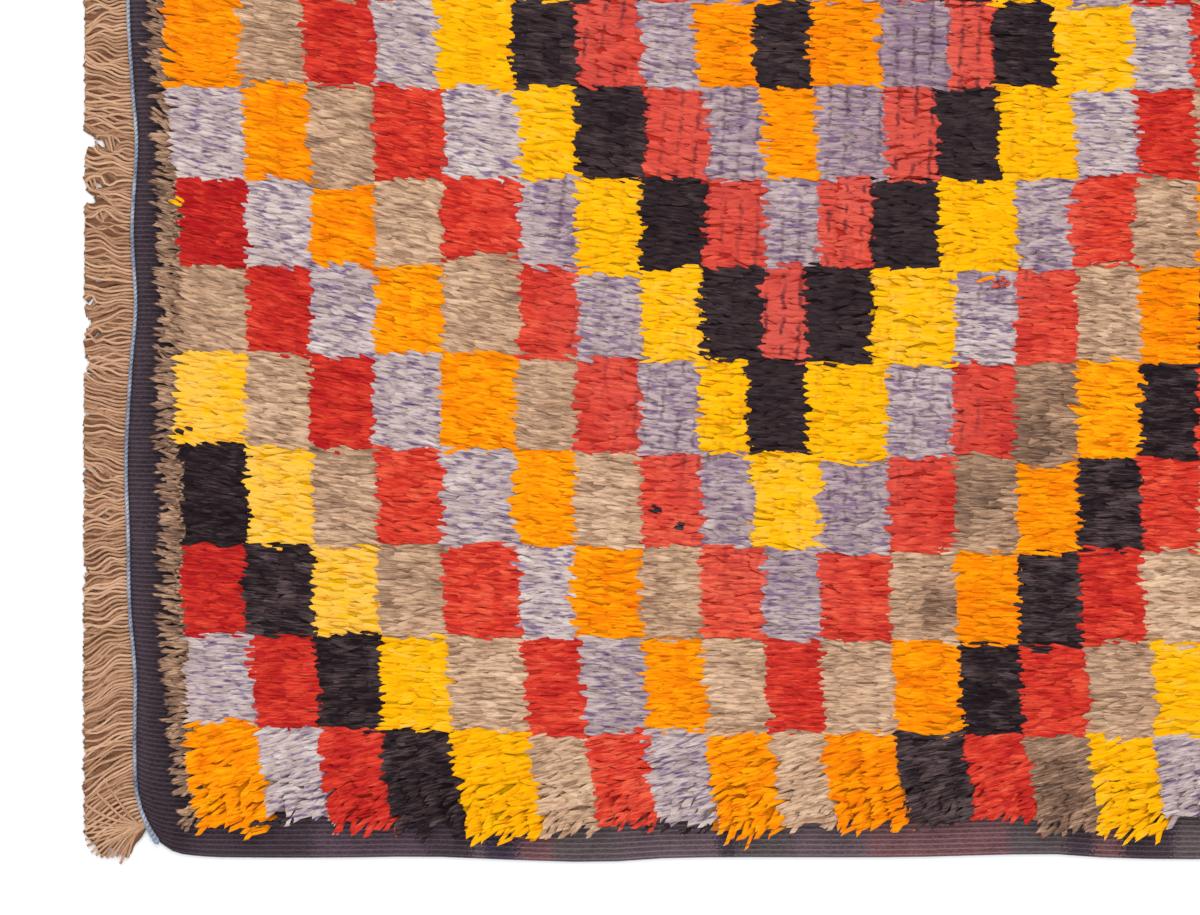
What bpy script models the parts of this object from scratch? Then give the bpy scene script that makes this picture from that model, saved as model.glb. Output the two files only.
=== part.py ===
"""A tulu rug lying flat: a woven ground, a field of long knotted pile, a twined cord and a warp
fringe at each end. X runs along the warps, Y along the wefts, Z up, in metres. The rug is centred
on the origin and its underside lies on Z = 0."""

import math
from collections import namedtuple

import bmesh
import bpy
from mathutils import Vector, noise

# Whole rug
RUG_LENGTH = 1.168
RUG_WIDTH = 1.301
GAP = 0.0003

# Woven ground
GROUND_THICKNESS = 0.0030
SIDE_STEP = 0.019

# Twined cord across each end
CORD_THICKNESS = 0.0027
END_STATIONS = 86
CORD_BEYOND_FRINGE = 1

# Fringe
STRAND_ROOT_SHARE = 0.90
STRAND_TIP_SHARE = 0.86
STRIP_WIDTH = 0.0024
FRINGE_THICKNESS = 0.0034
FRINGE_TIP_THICKNESS = 0.0022
STRAND_RINGS = (0.5, 1.0)
LONG_WAVE, LONG_WAVE_LENGTH = 0.0045, 0.105
SHORT_WAVE, SHORT_WAVE_LENGTH, SHORT_WAVE_START = 0.0016, 0.045, 1.3
CALM_CORNER, WAVES_START_OVER = 0.0300, 0.0900
STRAND_BEND, STRAND_BEND_PLACE = 0.0022, Vector((0.0, 0.0, 3.0))
STRAND_BEND_SIZE = 0.055

# Pile, in blocks of one colour each
PILE_UNDERSIDE = GROUND_THICKNESS + GAP
PILE_RISE = 0.0098
RIM_RISE = 0.0052
BLOCK_BULGE = 0.0040
LUMP_HEIGHT = 0.0026
LUMP_SIZE = 0.019
RIM_LUMP_SHARE = 0.25
MEAN_WEAR, WEAR_RANGE = 0.8, 0.35
WEAR_STEP = Vector((7.3, 3.1))
RIM_WANDER = 0.0040
RIM_WANDER_SIZE = 0.0103
RIM_WANDER_OTHER = Vector((0.0, 0.0, 9.0))
LINES_PER_BLOCK = 3
END_ROWS_START = 0.0620
FIRST_BLOCK_START = 0.0736
END_ROWS_STOP = RUG_LENGTH - 0.0760
SIDE_MARGIN = 0.0270
WEFT_SLOPE = -0.0085

# Locks of pile hanging over the rim
END_LOCK_REACH = 0.0125
SIDE_LOCK_REACH = 0.0110
SIDE_LOCKS_SKIP = 3
LOCK_LEAN = -0.0055
LOCK_RINGS = (0.55, 1.0)
LOCK_TIP_SHARE = 0.28
LOCK_LENGTH_RANGE, LOCK_LENGTH_SIZE = 0.35, 0.0164
FACING = 0.7

COLUMN_WIDTHS = (
    0.0568, 0.0512, 0.0512, 0.0536, 0.0616, 0.0496, 0.0512, 0.0464, 0.0472, 0.0464,
    0.0536, 0.0528, 0.0496, 0.0496, 0.0496, 0.0456, 0.0510, 0.0510, 0.0510,
)
MIDDLE_COLUMN = 10
HALF_ROW_WIDTHS = (0.0758, 0.0728, 0.0733, 0.0755, 0.0747, 0.0744, 0.0707, 0.0720)
MIDDLE_ROW_WIDTH = 0.0690

# Colours of the nested diamonds, from the middle block outwards; the right half changes from ring 10
DIAMONDS = (
    "black", "orange", "lavender", "red", "black", "yellow", "lavender", "red", "camel",
    "orange", "lavender", "red", "camel", "yellow", "black", "red", "lavender", "orange",
)
RIGHT_DIAMONDS = DIAMONDS[:10] + (
    "black", "red", "camel", "yellow", "lavender", "red", "black", "orange",
)
PILE_COLOURS = {
    "black": (0.030, 0.022, 0.026),
    "orange": (0.900, 0.270, 0.004),
    "lavender": (0.440, 0.350, 0.350),
    "red": (0.640, 0.045, 0.028),
    "yellow": (0.890, 0.490, 0.008),
    "camel": (0.420, 0.250, 0.160),
}

# Edge shapes, measured from one corner: in from the fringe tips, up from the lower side
EndRow = namedtuple("EndRow", "up inset")
CORNER_TURN = (
    EndRow(0.0120, 0.0584),
    EndRow(0.0288, 0.0488),
    EndRow(0.0520, 0.0412),
)
END_LINE = (
    EndRow(0.0976, 0.0397),
    EndRow(0.1464, 0.0400),
    EndRow(0.2000, 0.0356),
    EndRow(0.2600, 0.0344),
    EndRow(0.3184, 0.0328),
    EndRow(0.3952, 0.0368),
    EndRow(0.4416, 0.0405),
    EndRow(0.5024, 0.0376),
    EndRow(0.5720, 0.0412),
    EndRow(0.6096, 0.0384),
    EndRow(0.6864, 0.0344),
    EndRow(0.7900, 0.0385),
    EndRow(0.9000, 0.0360),
    EndRow(1.0200, 0.0345),
    EndRow(1.1200, 0.0390),
    EndRow(1.2000, 0.0395),
)

SideRow = namedtuple("SideRow", "along rise")
CORNER_FOOT = (
    SideRow(0.0720, 0.0048),
    SideRow(0.0920, 0.0016),
    SideRow(0.1150, 0.0006),
)
SIDE_LINE = (
    SideRow(0.2000, 0.0004),
    SideRow(0.2760, 0.0012),
    SideRow(0.3480, -0.0016),
    SideRow(0.4136, -0.0030),
    SideRow(0.4750, 0.0004),
    SideRow(0.6520, 0.0008),
    SideRow(0.7440, 0.0030),
    SideRow(0.7820, 0.0030),
    SideRow(0.8200, 0.0002),
    SideRow(0.8920, -0.0008),
    SideRow(0.9800, 0.0004),
)

# How far each weft line of blocks is pulled along the warps, up the rug
ShiftRow = namedtuple("ShiftRow", "up shift")
BLOCK_SHIFT = (
    ShiftRow(0.0270, 0.0110),
    ShiftRow(0.0650, 0.0088),
    ShiftRow(0.1390, 0.0040),
    ShiftRow(0.2120, 0.0008),
    ShiftRow(0.2860, 0.0000),
    ShiftRow(0.3610, -0.0024),
    ShiftRow(0.4360, 0.0000),
    ShiftRow(0.5800, -0.0016),
    ShiftRow(0.6500, -0.0040),
    ShiftRow(0.8600, 0.0000),
    ShiftRow(1.2740, 0.0020),
)

# Sideways travel of the fringe tips, up the rug
DriftRow = namedtuple("DriftRow", "up drift")
FRINGE_DRIFT = (
    DriftRow(0.0288, -0.0262),
    DriftRow(0.0400, -0.0268),
    DriftRow(0.0600, -0.0215),
    DriftRow(0.0900, -0.0090),
    DriftRow(0.1400, 0.0000),
    DriftRow(0.6500, 0.0000),
    DriftRow(1.1600, 0.0000),
    DriftRow(1.2110, 0.0090),
    DriftRow(1.2410, 0.0215),
    DriftRow(1.2722, 0.0262),
)

# Places where the fringe ends are bitten back
NotchRow = namedtuple("NotchRow", "up half_width depth")
FRINGE_NOTCHES = (
    NotchRow(0.0090, 0.0120, 0.0080),
    NotchRow(0.2300, 0.0060, 0.0035),
    NotchRow(0.3970, 0.0070, 0.0040),
    NotchRow(0.4280, 0.0090, 0.0055),
    NotchRow(0.5300, 0.0085, 0.0090),
    NotchRow(0.5740, 0.0095, 0.0090),
)


def clear_scene():
    for thing in list(bpy.data.objects):
        bpy.data.objects.remove(thing, do_unlink=True)


def material(name, colour, roughness):
    made = bpy.data.materials.new(name)
    made.use_nodes = True
    shader = made.node_tree.nodes["Principled BSDF"]
    shader.inputs["Base Color"].default_value = (*colour, 1.0)
    shader.inputs["Roughness"].default_value = roughness
    shader.inputs["Metallic"].default_value = 0.0
    return made


def place(along, up):
    """A point of the rug measured from its corner, as world X and Y."""
    return Vector((along - RUG_LENGTH / 2, up - RUG_WIDTH / 2))


def smooth_value(rows, at):
    """Value at a place on the smooth line through rows of (place, value)."""
    rows = [tuple(row) for row in rows]
    if at <= rows[0][0]:
        return rows[0][1]
    if at >= rows[-1][0]:
        return rows[-1][1]
    index = max(i for i, row in enumerate(rows[:-1]) if row[0] <= at)
    before = rows[max(index - 1, 0)]
    start, stop = rows[index], rows[index + 1]
    after = rows[min(index + 2, len(rows) - 1)]
    span = stop[0] - start[0]
    t = (at - start[0]) / span
    slope_in = (stop[1] - before[1]) / (stop[0] - before[0]) * span
    slope_out = (after[1] - start[1]) / (after[0] - start[0]) * span
    return (
        (2 * t**3 - 3 * t**2 + 1) * start[1]
        + (t**3 - 2 * t**2 + t) * slope_in
        + (3 * t**2 - 2 * t**3) * stop[1]
        + (t**3 - t**2) * slope_out
    )


def smooth_path(points, count):
    """The ends of a number of even steps on a smooth line through the given points."""
    travelled = [0.0]
    for start, stop in zip(points, points[1:]):
        travelled.append(travelled[-1] + (stop - start).length)
    xs = [(s, p.x) for s, p in zip(travelled, points)]
    ys = [(s, p.y) for s, p in zip(travelled, points)]
    stations = [travelled[-1] * i / count for i in range(count + 1)]
    return [Vector((smooth_value(xs, s), smooth_value(ys, s))) for s in stations]


def offset_path(points, distance):
    """The path moved to its left by a distance."""
    moved = []
    for i, point in enumerate(points):
        ahead = points[min(i + 1, len(points) - 1)]
        behind = points[max(i - 1, 0)]
        along = (ahead - behind).normalized()
        moved.append(point + Vector((-along.y, along.x)) * distance)
    return moved


def turned(points):
    """The path turned half round the middle of the rug."""
    return [-point for point in points]


def end_path():
    """The middle of the left end cord, from the top corner down to the bottom one."""
    bottom = [place(row.inset, row.up) for row in CORNER_TURN + END_LINE]
    top = [place(row.inset, RUG_WIDTH - row.up) for row in CORNER_TURN]
    return smooth_path(top + bottom[::-1], END_STATIONS)


def side_points():
    """Points of the lower side from the left corner towards the right one."""
    left = [place(row.along, row.rise) for row in CORNER_FOOT + SIDE_LINE]
    right = [place(RUG_LENGTH - row.along, row.rise) for row in CORNER_FOOT]
    return left + right[::-1]


def ground_outline():
    """The ground's outline: one end and one side, and the same turned half round."""
    end = offset_path(end_path(), CORD_THICKNESS / 2 + GAP)
    side = smooth_path(side_points(), round(RUG_LENGTH / SIDE_STEP))
    half = end + side
    return half + turned(half)


def add_object(name, data, collection, looks):
    for look in looks:
        data.materials.append(look)
    made = bpy.data.objects.new(name, data)
    collection.objects.link(made)
    return made


def build_ground(collection, look):
    curve = bpy.data.curves.new("woven_ground", "CURVE")
    curve.dimensions = "2D"
    curve.fill_mode = "BOTH"
    curve.extrude = GROUND_THICKNESS / 2
    outline = ground_outline()
    spline = curve.splines.new("POLY")
    spline.points.add(len(outline) - 1)
    for point, corner in zip(spline.points, outline):
        point.co = (corner.x, corner.y, 0.0, 1.0)
    spline.use_cyclic_u = True
    ground = add_object("woven_ground", curve, collection, [look])
    ground.location.z = GROUND_THICKNESS / 2
    return ground


def build_end_cord(name, half_turns, collection, look):
    curve = bpy.data.curves.new(name, "CURVE")
    curve.dimensions = "3D"
    curve.bevel_depth = CORD_THICKNESS / 2
    curve.bevel_resolution = 1
    curve.use_fill_caps = True
    path = end_path()
    spline = curve.splines.new("POLY")
    spline.points.add(len(path) - 1)
    for point, place_on_path in zip(spline.points, path):
        point.co = (place_on_path.x, place_on_path.y, 0.0, 1.0)
    cord = add_object(name, curve, collection, [look])
    cord.location.z = CORD_THICKNESS / 2 + GAP / 2
    cord.rotation_euler.z = half_turns * math.pi
    return cord


def fringe_wave(up):
    """Gentle sideways waves that neighbouring strands share."""
    long_wave = math.sin(2 * math.pi * up / LONG_WAVE_LENGTH)
    short_wave = math.sin(2 * math.pi * up / SHORT_WAVE_LENGTH + SHORT_WAVE_START)
    from_corner = min(up, RUG_WIDTH - up) - CALM_CORNER
    strength = min(max(from_corner / WAVES_START_OVER, 0.0), 1.0)
    return strength * (LONG_WAVE * long_wave + SHORT_WAVE * short_wave)


def notch_depth(up):
    """How far the fringe ends stand back at a height up the rug."""
    depth = 0.0
    for notch in FRINGE_NOTCHES:
        away = abs(up - notch.up) / notch.half_width
        if away < 1.0:
            depth = max(depth, notch.depth * (1 - away**2))
    return depth


def strand_point(root, share):
    """A point at a share of the way along the strand that starts at root."""
    up = root.y + RUG_WIDTH / 2
    drift = smooth_value(FRINGE_DRIFT, up) + fringe_wave(up)
    tip_up = up + drift
    tip = place(notch_depth(tip_up), tip_up)
    way = noise.noise(Vector((up / STRAND_BEND_SIZE, 0.0, 0.0)) + STRAND_BEND_PLACE)
    bend = STRAND_BEND * way * math.sin(math.pi * share)
    point = root.lerp(tip, share)
    return Vector((point.x, point.y + bend))


def root_stations():
    """Pairs of inner and outer strip points where each strand's root starts and stops."""
    path = end_path()
    inner = offset_path(path, -(CORD_THICKNESS / 2 + GAP))
    outer = offset_path(path, -(CORD_THICKNESS / 2 + GAP + STRIP_WIDTH))
    margin = (1 - STRAND_ROOT_SHARE) / 2
    stations = []
    for k in range(CORD_BEYOND_FRINGE, len(path) - 1 - CORD_BEYOND_FRINGE):
        for share in (margin, 1 - margin):
            stations.append(
                (inner[k].lerp(inner[k + 1], share), outer[k].lerp(outer[k + 1], share))
            )
    return stations


def fringe_strip(bm):
    """The strip the strands hang from; returns each strand's root face with its two root points."""
    stations = root_stations()
    rings = []
    for near, far in stations:
        corners = (
            (near.x, near.y, 0.0),
            (far.x, far.y, 0.0),
            (far.x, far.y, FRINGE_THICKNESS),
            (near.x, near.y, FRINGE_THICKNESS),
        )
        rings.append([bm.verts.new(corner) for corner in corners])
    bm.faces.new(rings[0])
    bm.faces.new(rings[-1][::-1])
    roots = []
    for i, (ring, next_ring) in enumerate(zip(rings, rings[1:])):
        for side in range(4):
            turn = (side + 1) % 4
            face = bm.faces.new((ring[side], next_ring[side], next_ring[turn], ring[turn]))
            if side == 1 and i % 2 == 0:
                roots.append((face, stations[i][1], stations[i + 1][1]))
    return roots


def grow_strand(bm, face, first_root, second_root):
    """Draws one strand out of its root face, ring by ring."""
    last_first, last_second = first_root, second_root
    for share in STRAND_RINGS:
        grown = bmesh.ops.extrude_discrete_faces(bm, faces=[face])
        face = grown["faces"][0]
        thickness = FRINGE_THICKNESS + (FRINGE_TIP_THICKNESS - FRINGE_THICKNESS) * share
        width = 1.0 + (STRAND_TIP_SHARE - 1.0) * share
        first = strand_point(first_root, share)
        second = strand_point(second_root, share)
        middle = (first + second) / 2
        first = middle + (first - middle) * width
        second = middle + (second - middle) * width
        for vert in face.verts:
            on_first = (vert.co.xy - last_first).length < (vert.co.xy - last_second).length
            target = first if on_first else second
            raised = vert.co.z > FRINGE_TIP_THICKNESS / 2
            vert.co = (target.x, target.y, thickness if raised else 0.0)
        last_first, last_second = first, second


def build_fringe(name, half_turns, collection, look):
    bm = bmesh.new()
    for face, first_root, second_root in fringe_strip(bm):
        grow_strand(bm, face, first_root, second_root)
    bmesh.ops.recalc_face_normals(bm, faces=bm.faces)
    mesh = bpy.data.meshes.new(name)
    bm.to_mesh(mesh)
    bm.free()
    fringe = add_object(name, mesh, collection, [look])
    fringe.rotation_euler.z = half_turns * math.pi
    return fringe


def block_lines():
    """Grid lines of the pile along the warps and up the rug."""
    along = [END_ROWS_START, FIRST_BLOCK_START]
    for width in COLUMN_WIDTHS:
        start = along[-1]
        along += [start + width * (i + 1) / LINES_PER_BLOCK for i in range(LINES_PER_BLOCK)]
    end_rows = END_ROWS_STOP - along[-1]
    start = along[-1]
    along += [start + end_rows * (i + 1) / LINES_PER_BLOCK for i in range(LINES_PER_BLOCK)]
    rows = HALF_ROW_WIDTHS + (MIDDLE_ROW_WIDTH,) + HALF_ROW_WIDTHS[::-1]
    up = [SIDE_MARGIN]
    for width in rows:
        start = up[-1]
        up += [start + width * (i + 1) / LINES_PER_BLOCK for i in range(LINES_PER_BLOCK)]
    return along, up


def pile_height(i, j, last_i, last_j, spot):
    """Height of the pile's top at a grid point: low on the rim and in creases, full in blocks."""
    if i in (0, last_i) or j in (0, last_j):
        rim_lump = RIM_LUMP_SHARE * LUMP_HEIGHT * noise.noise(spot / LUMP_SIZE)
        return PILE_UNDERSIDE + RIM_RISE + rim_lump
    on_warp_crease = (i - 1) % LINES_PER_BLOCK == 0
    on_weft_crease = j % LINES_PER_BLOCK == 0
    bulge = 0.0 if (on_warp_crease or on_weft_crease) else BLOCK_BULGE
    column = (i - 1) // LINES_PER_BLOCK
    row = j // LINES_PER_BLOCK
    block = Vector((column * WEAR_STEP.x, row * WEAR_STEP.y, WEAR_RANGE))
    worn = MEAN_WEAR + WEAR_RANGE * noise.noise(block)
    lump = LUMP_HEIGHT * noise.noise(spot / LUMP_SIZE)
    return PILE_UNDERSIDE + PILE_RISE - BLOCK_BULGE / 2 + bulge * worn + lump


def lay_grid(bm, along, up):
    """Puts the grid's points on the block lines, unevenly at the rim, and raises them."""
    last_i = len(along) - 1
    last_j = len(up) - 1
    for vert in bm.verts:
        i = round((vert.co.x + 1) / 2 * last_i)
        j = round((vert.co.y + 1) / 2 * last_j)
        flat = place(along[i] + smooth_value(BLOCK_SHIFT, up[j]), up[j])
        flat.y += WEFT_SLOPE * flat.x * (0.0 if j in (0, last_j) else 1.0)
        if i == 0 or j in (0, last_j):
            spot = Vector((flat.x, flat.y, 0.0)) / RIM_WANDER_SIZE
            flat.x += RIM_WANDER * noise.noise(spot)
            flat.y += RIM_WANDER * noise.noise(spot + RIM_WANDER_OTHER)
        spot = Vector((flat.x, flat.y, 0.0))
        vert.co = (flat.x, flat.y, pile_height(i, j, last_i, last_j, spot))


def ring_colour(column, row, rows):
    """Colour of a block: which diamond round the middle block it lies on."""
    ring = abs(column - MIDDLE_COLUMN) + abs(row - (rows + 1) // 2)
    return (RIGHT_DIAMONDS if column > MIDDLE_COLUMN else DIAMONDS)[ring]


def colour_blocks(bm, names):
    """Gives each face of the grid the colour of its block, and the end rows camel."""
    columns = len(COLUMN_WIDTHS)
    rows = 2 * len(HALF_ROW_WIDTHS) + 1
    last_i = (columns + 1) * LINES_PER_BLOCK + 1
    last_j = rows * LINES_PER_BLOCK
    for face in bm.faces:
        middle = face.calc_center_median()
        i = int((middle.x + 1) / 2 * last_i)
        j = int((middle.y + 1) / 2 * last_j)
        column = (i - 1) // LINES_PER_BLOCK + 1
        row = j // LINES_PER_BLOCK + 1
        on_block = i > 0 and column <= columns
        colour = ring_colour(column, row, rows) if on_block else "camel"
        face.material_index = names.index(colour)


def close_slab(bm):
    """Walls down from the rim and a flat underside; returns the wall faces."""
    rim = [edge for edge in bm.edges if edge.is_boundary]
    walls = bmesh.ops.extrude_edge_only(bm, edges=rim)["geom"]
    for vert in walls:
        if isinstance(vert, bmesh.types.BMVert):
            vert.co.z = PILE_UNDERSIDE
    faces = [item for item in walls if isinstance(item, bmesh.types.BMFace)]
    open_edges = [edge for edge in bm.edges if edge.is_boundary]
    bmesh.ops.edgeloop_fill(bm, edges=open_edges)
    bmesh.ops.recalc_face_normals(bm, faces=bm.faces)
    return faces


def grow_lock(bm, face, reach, lean):
    """Draws a tapering lock out of a wall face: outwards, along the lean, down to the ground."""
    outwards = Vector((face.normal.x, face.normal.y, 0.0)).normalized()
    start = face.calc_center_median()
    length = reach * (1.0 + LOCK_LENGTH_RANGE * noise.noise(start / LOCK_LENGTH_SIZE))
    offsets = [vert.co - start for vert in face.verts]
    for share in LOCK_RINGS:
        grown = bmesh.ops.extrude_discrete_faces(bm, faces=[face])
        face = grown["faces"][0]
        size = 1.0 + (LOCK_TIP_SHARE - 1.0) * share
        centre = start + outwards * length * share
        centre.x += lean * share
        centre.z = PILE_UNDERSIDE + max(-min(o.z for o in offsets) * size, 0.0)
        for vert, offset in zip(face.verts, offsets):
            vert.co = centre + offset * size


def build_pile(collection, looks):
    along, up = block_lines()
    bm = bmesh.new()
    bmesh.ops.create_grid(bm, x_segments=len(along) - 1, y_segments=len(up) - 1, size=1.0)
    colour_blocks(bm, list(looks))
    lay_grid(bm, along, up)
    walls = close_slab(bm)
    left = [face for face in walls if face.normal.x < -FACING]
    sides = [face for face in walls if abs(face.normal.y) > FACING]
    sides.sort(key=lambda face: (face.normal.y > 0, face.calc_center_median().x))
    for face in left:
        grow_lock(bm, face, END_LOCK_REACH, 0.0)
    for number, face in enumerate(sides):
        if number % SIDE_LOCKS_SKIP:
            grow_lock(bm, face, SIDE_LOCK_REACH, LOCK_LEAN)
    bmesh.ops.recalc_face_normals(bm, faces=bm.faces)
    mesh = bpy.data.meshes.new("pile_field")
    bm.to_mesh(mesh)
    bm.free()
    mesh.shade_smooth()
    return add_object("pile_field", mesh, collection, looks.values())


def main():
    clear_scene()
    collection = bpy.data.collections.new("tulu_rug")
    bpy.context.scene.collection.children.link(collection)
    dark_wool = material("dark_ground_wool", (0.045, 0.035, 0.042), 0.95)
    blue_wool = material("blue_twining_wool", (0.10, 0.20, 0.32), 0.92)
    camel_wool = material("undyed_warp_wool", (0.46, 0.28, 0.17), 0.95)
    pile_wools = {
        name: material(f"pile_wool_{name}", colour, 0.97) for name, colour in PILE_COLOURS.items()
    }
    build_ground(collection, dark_wool)
    build_pile(collection, pile_wools)
    for side, half_turns in (("left", 0), ("right", 1)):
        build_end_cord(f"end_cord_{side}", half_turns, collection, blue_wool)
        build_fringe(f"fringe_{side}", half_turns, collection, camel_wool)


main()
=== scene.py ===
"""The looks of a tulu rug lying flat on a pale floor, seen from straight above.

The rug is pile in blocks of one colour, knotted lock by lock on a ribbed dark ground, with a blue
twined cord and a fringe of plied warps at each end. X runs along the warps, Y along the wefts, in
metres, round the middle of the rug. "Along" and "up" are measured from the rug's lower left corner.
"""

import math
from collections import namedtuple
from types import SimpleNamespace

import bpy
import numpy as np
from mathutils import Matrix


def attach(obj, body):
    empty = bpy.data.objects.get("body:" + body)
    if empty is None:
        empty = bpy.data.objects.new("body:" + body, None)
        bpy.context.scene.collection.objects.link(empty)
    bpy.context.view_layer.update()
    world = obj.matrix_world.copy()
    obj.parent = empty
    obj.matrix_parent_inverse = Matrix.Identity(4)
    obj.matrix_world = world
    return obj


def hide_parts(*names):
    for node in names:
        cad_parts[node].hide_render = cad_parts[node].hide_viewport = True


# Rug, as in the frame
RUG_LENGTH, RUG_WIDTH = 1.168, 1.301
GROUND_THICKNESS, CORD_THICKNESS = 0.0030, 0.0027
# Space between two solids that lie side by side
GAP = 0.0003
# Steps along an end, and how many of them the cord runs on beyond the fringe at each corner
END_STATIONS, CORD_BEYOND_FRINGE = 86, 1

# Blocks of the pile: where they start, how wide they are along the warps, and up the rug
FIRST_BLOCK_START, SIDE_MARGIN = 0.0736, 0.0270
COLUMN_WIDTHS = (
    0.0568, 0.0512, 0.0512, 0.0536, 0.0616, 0.0450, 0.0512, 0.0464, 0.0504, 0.0440,
    0.0560, 0.0540, 0.0488, 0.0496, 0.0508, 0.0464, 0.0500, 0.0510, 0.0510,
)
MIDDLE_COLUMN = 10
HALF_ROW_WIDTHS = (0.0758, 0.0728, 0.0733, 0.0755, 0.0747, 0.0744, 0.0707, 0.0720)
MIDDLE_ROW_WIDTH = 0.0690
ROW_WIDTHS = HALF_ROW_WIDTHS + (MIDDLE_ROW_WIDTH,) + HALF_ROW_WIDTHS[::-1]

# Colours of the nested diamonds, from the middle block outwards; the right half changes from ring 10
DIAMONDS = (
    "black", "orange", "lavender", "red", "black", "yellow", "lavender", "red", "camel",
    "orange", "lavender", "red", "camel", "yellow", "black", "red", "lavender", "orange",
)
RIGHT_DIAMONDS = DIAMONDS[:10] + (
    "black", "red", "camel", "yellow", "lavender", "red", "black", "orange",
)

# Edge shapes as (up, inset) for an end and (along, rise) for a side
CORNER_TURN = ((0.0120, 0.0584), (0.0288, 0.0488), (0.0520, 0.0412))
END_LINE = (
    (0.0976, 0.0397), (0.1464, 0.0400), (0.2000, 0.0356), (0.2600, 0.0344),
    (0.3184, 0.0328), (0.3952, 0.0368), (0.4416, 0.0405), (0.5024, 0.0376),
    (0.5720, 0.0412), (0.6096, 0.0384), (0.6864, 0.0344), (0.7900, 0.0385),
    (0.9000, 0.0360), (1.0200, 0.0345), (1.1200, 0.0390), (1.2000, 0.0395),
)
CORNER_FOOT = ((0.0720, 0.0048), (0.0920, 0.0016), (0.1150, 0.0006))
SIDE_LINE = (
    (0.2000, 0.0004), (0.2760, 0.0012), (0.3480, -0.0016), (0.4136, -0.0030),
    (0.4750, 0.0004), (0.6520, 0.0008), (0.7440, 0.0030), (0.7820, 0.0030),
    (0.8200, 0.0002), (0.8920, -0.0008), (0.9800, 0.0004),
)

# Right of the middle, the blocks of the black and yellow diamonds start early
EARLY_RINGS, EARLY_START = (4, 5), 0.0105

# How far the blocks are shifted along the warps, as (up, shift)
BLOCK_SHIFT = (
    (0.0270, 0.0110), (0.0650, 0.0088), (0.1390, 0.0040), (0.2120, 0.0008),
    (0.2860, 0.0000), (0.3610, -0.0024), (0.4360, -0.0008), (0.5800, -0.0030),
    (0.6500, -0.0080), (0.8600, -0.0020), (1.2740, 0.0020),
)
# How much further the first column starts, fading over its width, as (up, shift)
FIRST_EDGE = (
    (0.0270, -0.0024), (0.0700, -0.0020), (0.1390, 0.0072), (0.2120, 0.0056), (0.2860, 0.0064),
    (0.3610, 0.0024), (0.4360, 0.0040), (0.5100, 0.0056), (0.5800, -0.0016), (0.6500, -0.0024),
    (1.2740, 0.0000),
)
FIRST_EDGE_REACH = 0.034
# Places where a border between columns is pulled along the warps, as (along, up, pull)
BORDER_PULLS = (
    (0.239, 0.650, 0.0100), (0.402, 0.652, 0.0105), (0.452, 0.640, 0.0080), (0.294, 0.582, 0.0066),
    (0.454, 0.580, 0.0095), (0.503, 0.575, 0.0085), (0.499, 0.508, 0.0072), (0.793, 0.508, -0.0070),
    (0.838, 0.500, -0.0055), (0.583, 0.360, 0.0062), (0.346, 0.288, -0.0075), (0.538, 0.288, 0.0070),
    (0.390, 0.212, -0.0075), (0.125, 0.212, -0.0050), (0.806, 0.140, 0.0055), (0.862, 0.138, 0.0110),
    (0.188, 0.065, -0.0060), (0.239, 0.065, -0.0060), (0.459, 0.065, -0.0080), (0.593, 0.065, -0.0055),
    (0.874, 0.065, 0.0110),
)
# Places where a border between rows is pulled up the rug, as (along, up, pull)
ROW_PULLS = (
    (0.105, 0.102, 0.0080), (0.207, 0.540, -0.0095), (0.318, 0.474, 0.0105), (0.423, 0.466, -0.0070),
    (0.616, 0.394, -0.0060), (0.616, 0.317, -0.0070), (0.616, 0.2445, -0.0055), (0.770, 0.320, -0.0050),
    (0.770, 0.169, -0.0055), (0.819, 0.540, 0.0040), (0.819, 0.474, 0.0040), (0.819, 0.172, 0.0040),
    (0.373, 0.099, -0.0045), (0.318, 0.398, 0.0040),
)
PULL_REACH = (0.030, 0.036)
ROW_PULL_SETBACK = 0.6
# How the weft lines of blocks slope, as (up, slope)
WEFT_SLOPES = (
    (0.0270, -0.0010), (0.1028, -0.0085), (0.1756, -0.0105), (0.2489, -0.0090),
    (0.3244, -0.0140), (0.3991, -0.0125), (0.4735, -0.0035), (0.5442, -0.0015),
    (0.6162, -0.0050), (0.7000, -0.0085), (1.1980, -0.0085), (1.2740, -0.0010),
)

# Fringe: sideways travel of the tips, as (up, drift)
FRINGE_DRIFT = (
    (0.0288, -0.0262), (0.0400, -0.0268), (0.0600, -0.0225), (0.0900, -0.0165), (0.1400, -0.0145),
    (0.1750, -0.0140), (0.2000, -0.0080), (0.2200, -0.0110), (0.2450, -0.0030), (0.2640, -0.0060),
    (0.2880, 0.0000), (0.3110, 0.0140), (0.3270, 0.0060), (0.3440, 0.0060), (0.3730, 0.0080),
    (0.3950, 0.0040), (0.4200, -0.0050), (0.4350, -0.0080), (0.4520, 0.0020), (0.4780, 0.0120),
    (0.5000, 0.0050), (0.5220, 0.0090), (0.5450, 0.0020), (0.5670, 0.0100), (0.5900, 0.0060),
    (0.6300, 0.0080), (0.6620, -0.0030), (0.6840, -0.0040), (0.7400, 0.0040), (0.8200, -0.0060),
    (0.9000, 0.0050), (0.9800, -0.0040), (1.0700, 0.0060), (1.1600, 0.0000), (1.2110, 0.0090),
    (1.2410, 0.0215), (1.2722, 0.0262),
)
# Bites out of its ends, as (up, half width, depth)
FRINGE_NOTCHES = (
    (0.0090, 0.0120, 0.0080), (0.2300, 0.0060, 0.0035), (0.3970, 0.0070, 0.0040),
    (0.4280, 0.0090, 0.0055), (0.5300, 0.0085, 0.0090), (0.5740, 0.0095, 0.0090),
)
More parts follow.
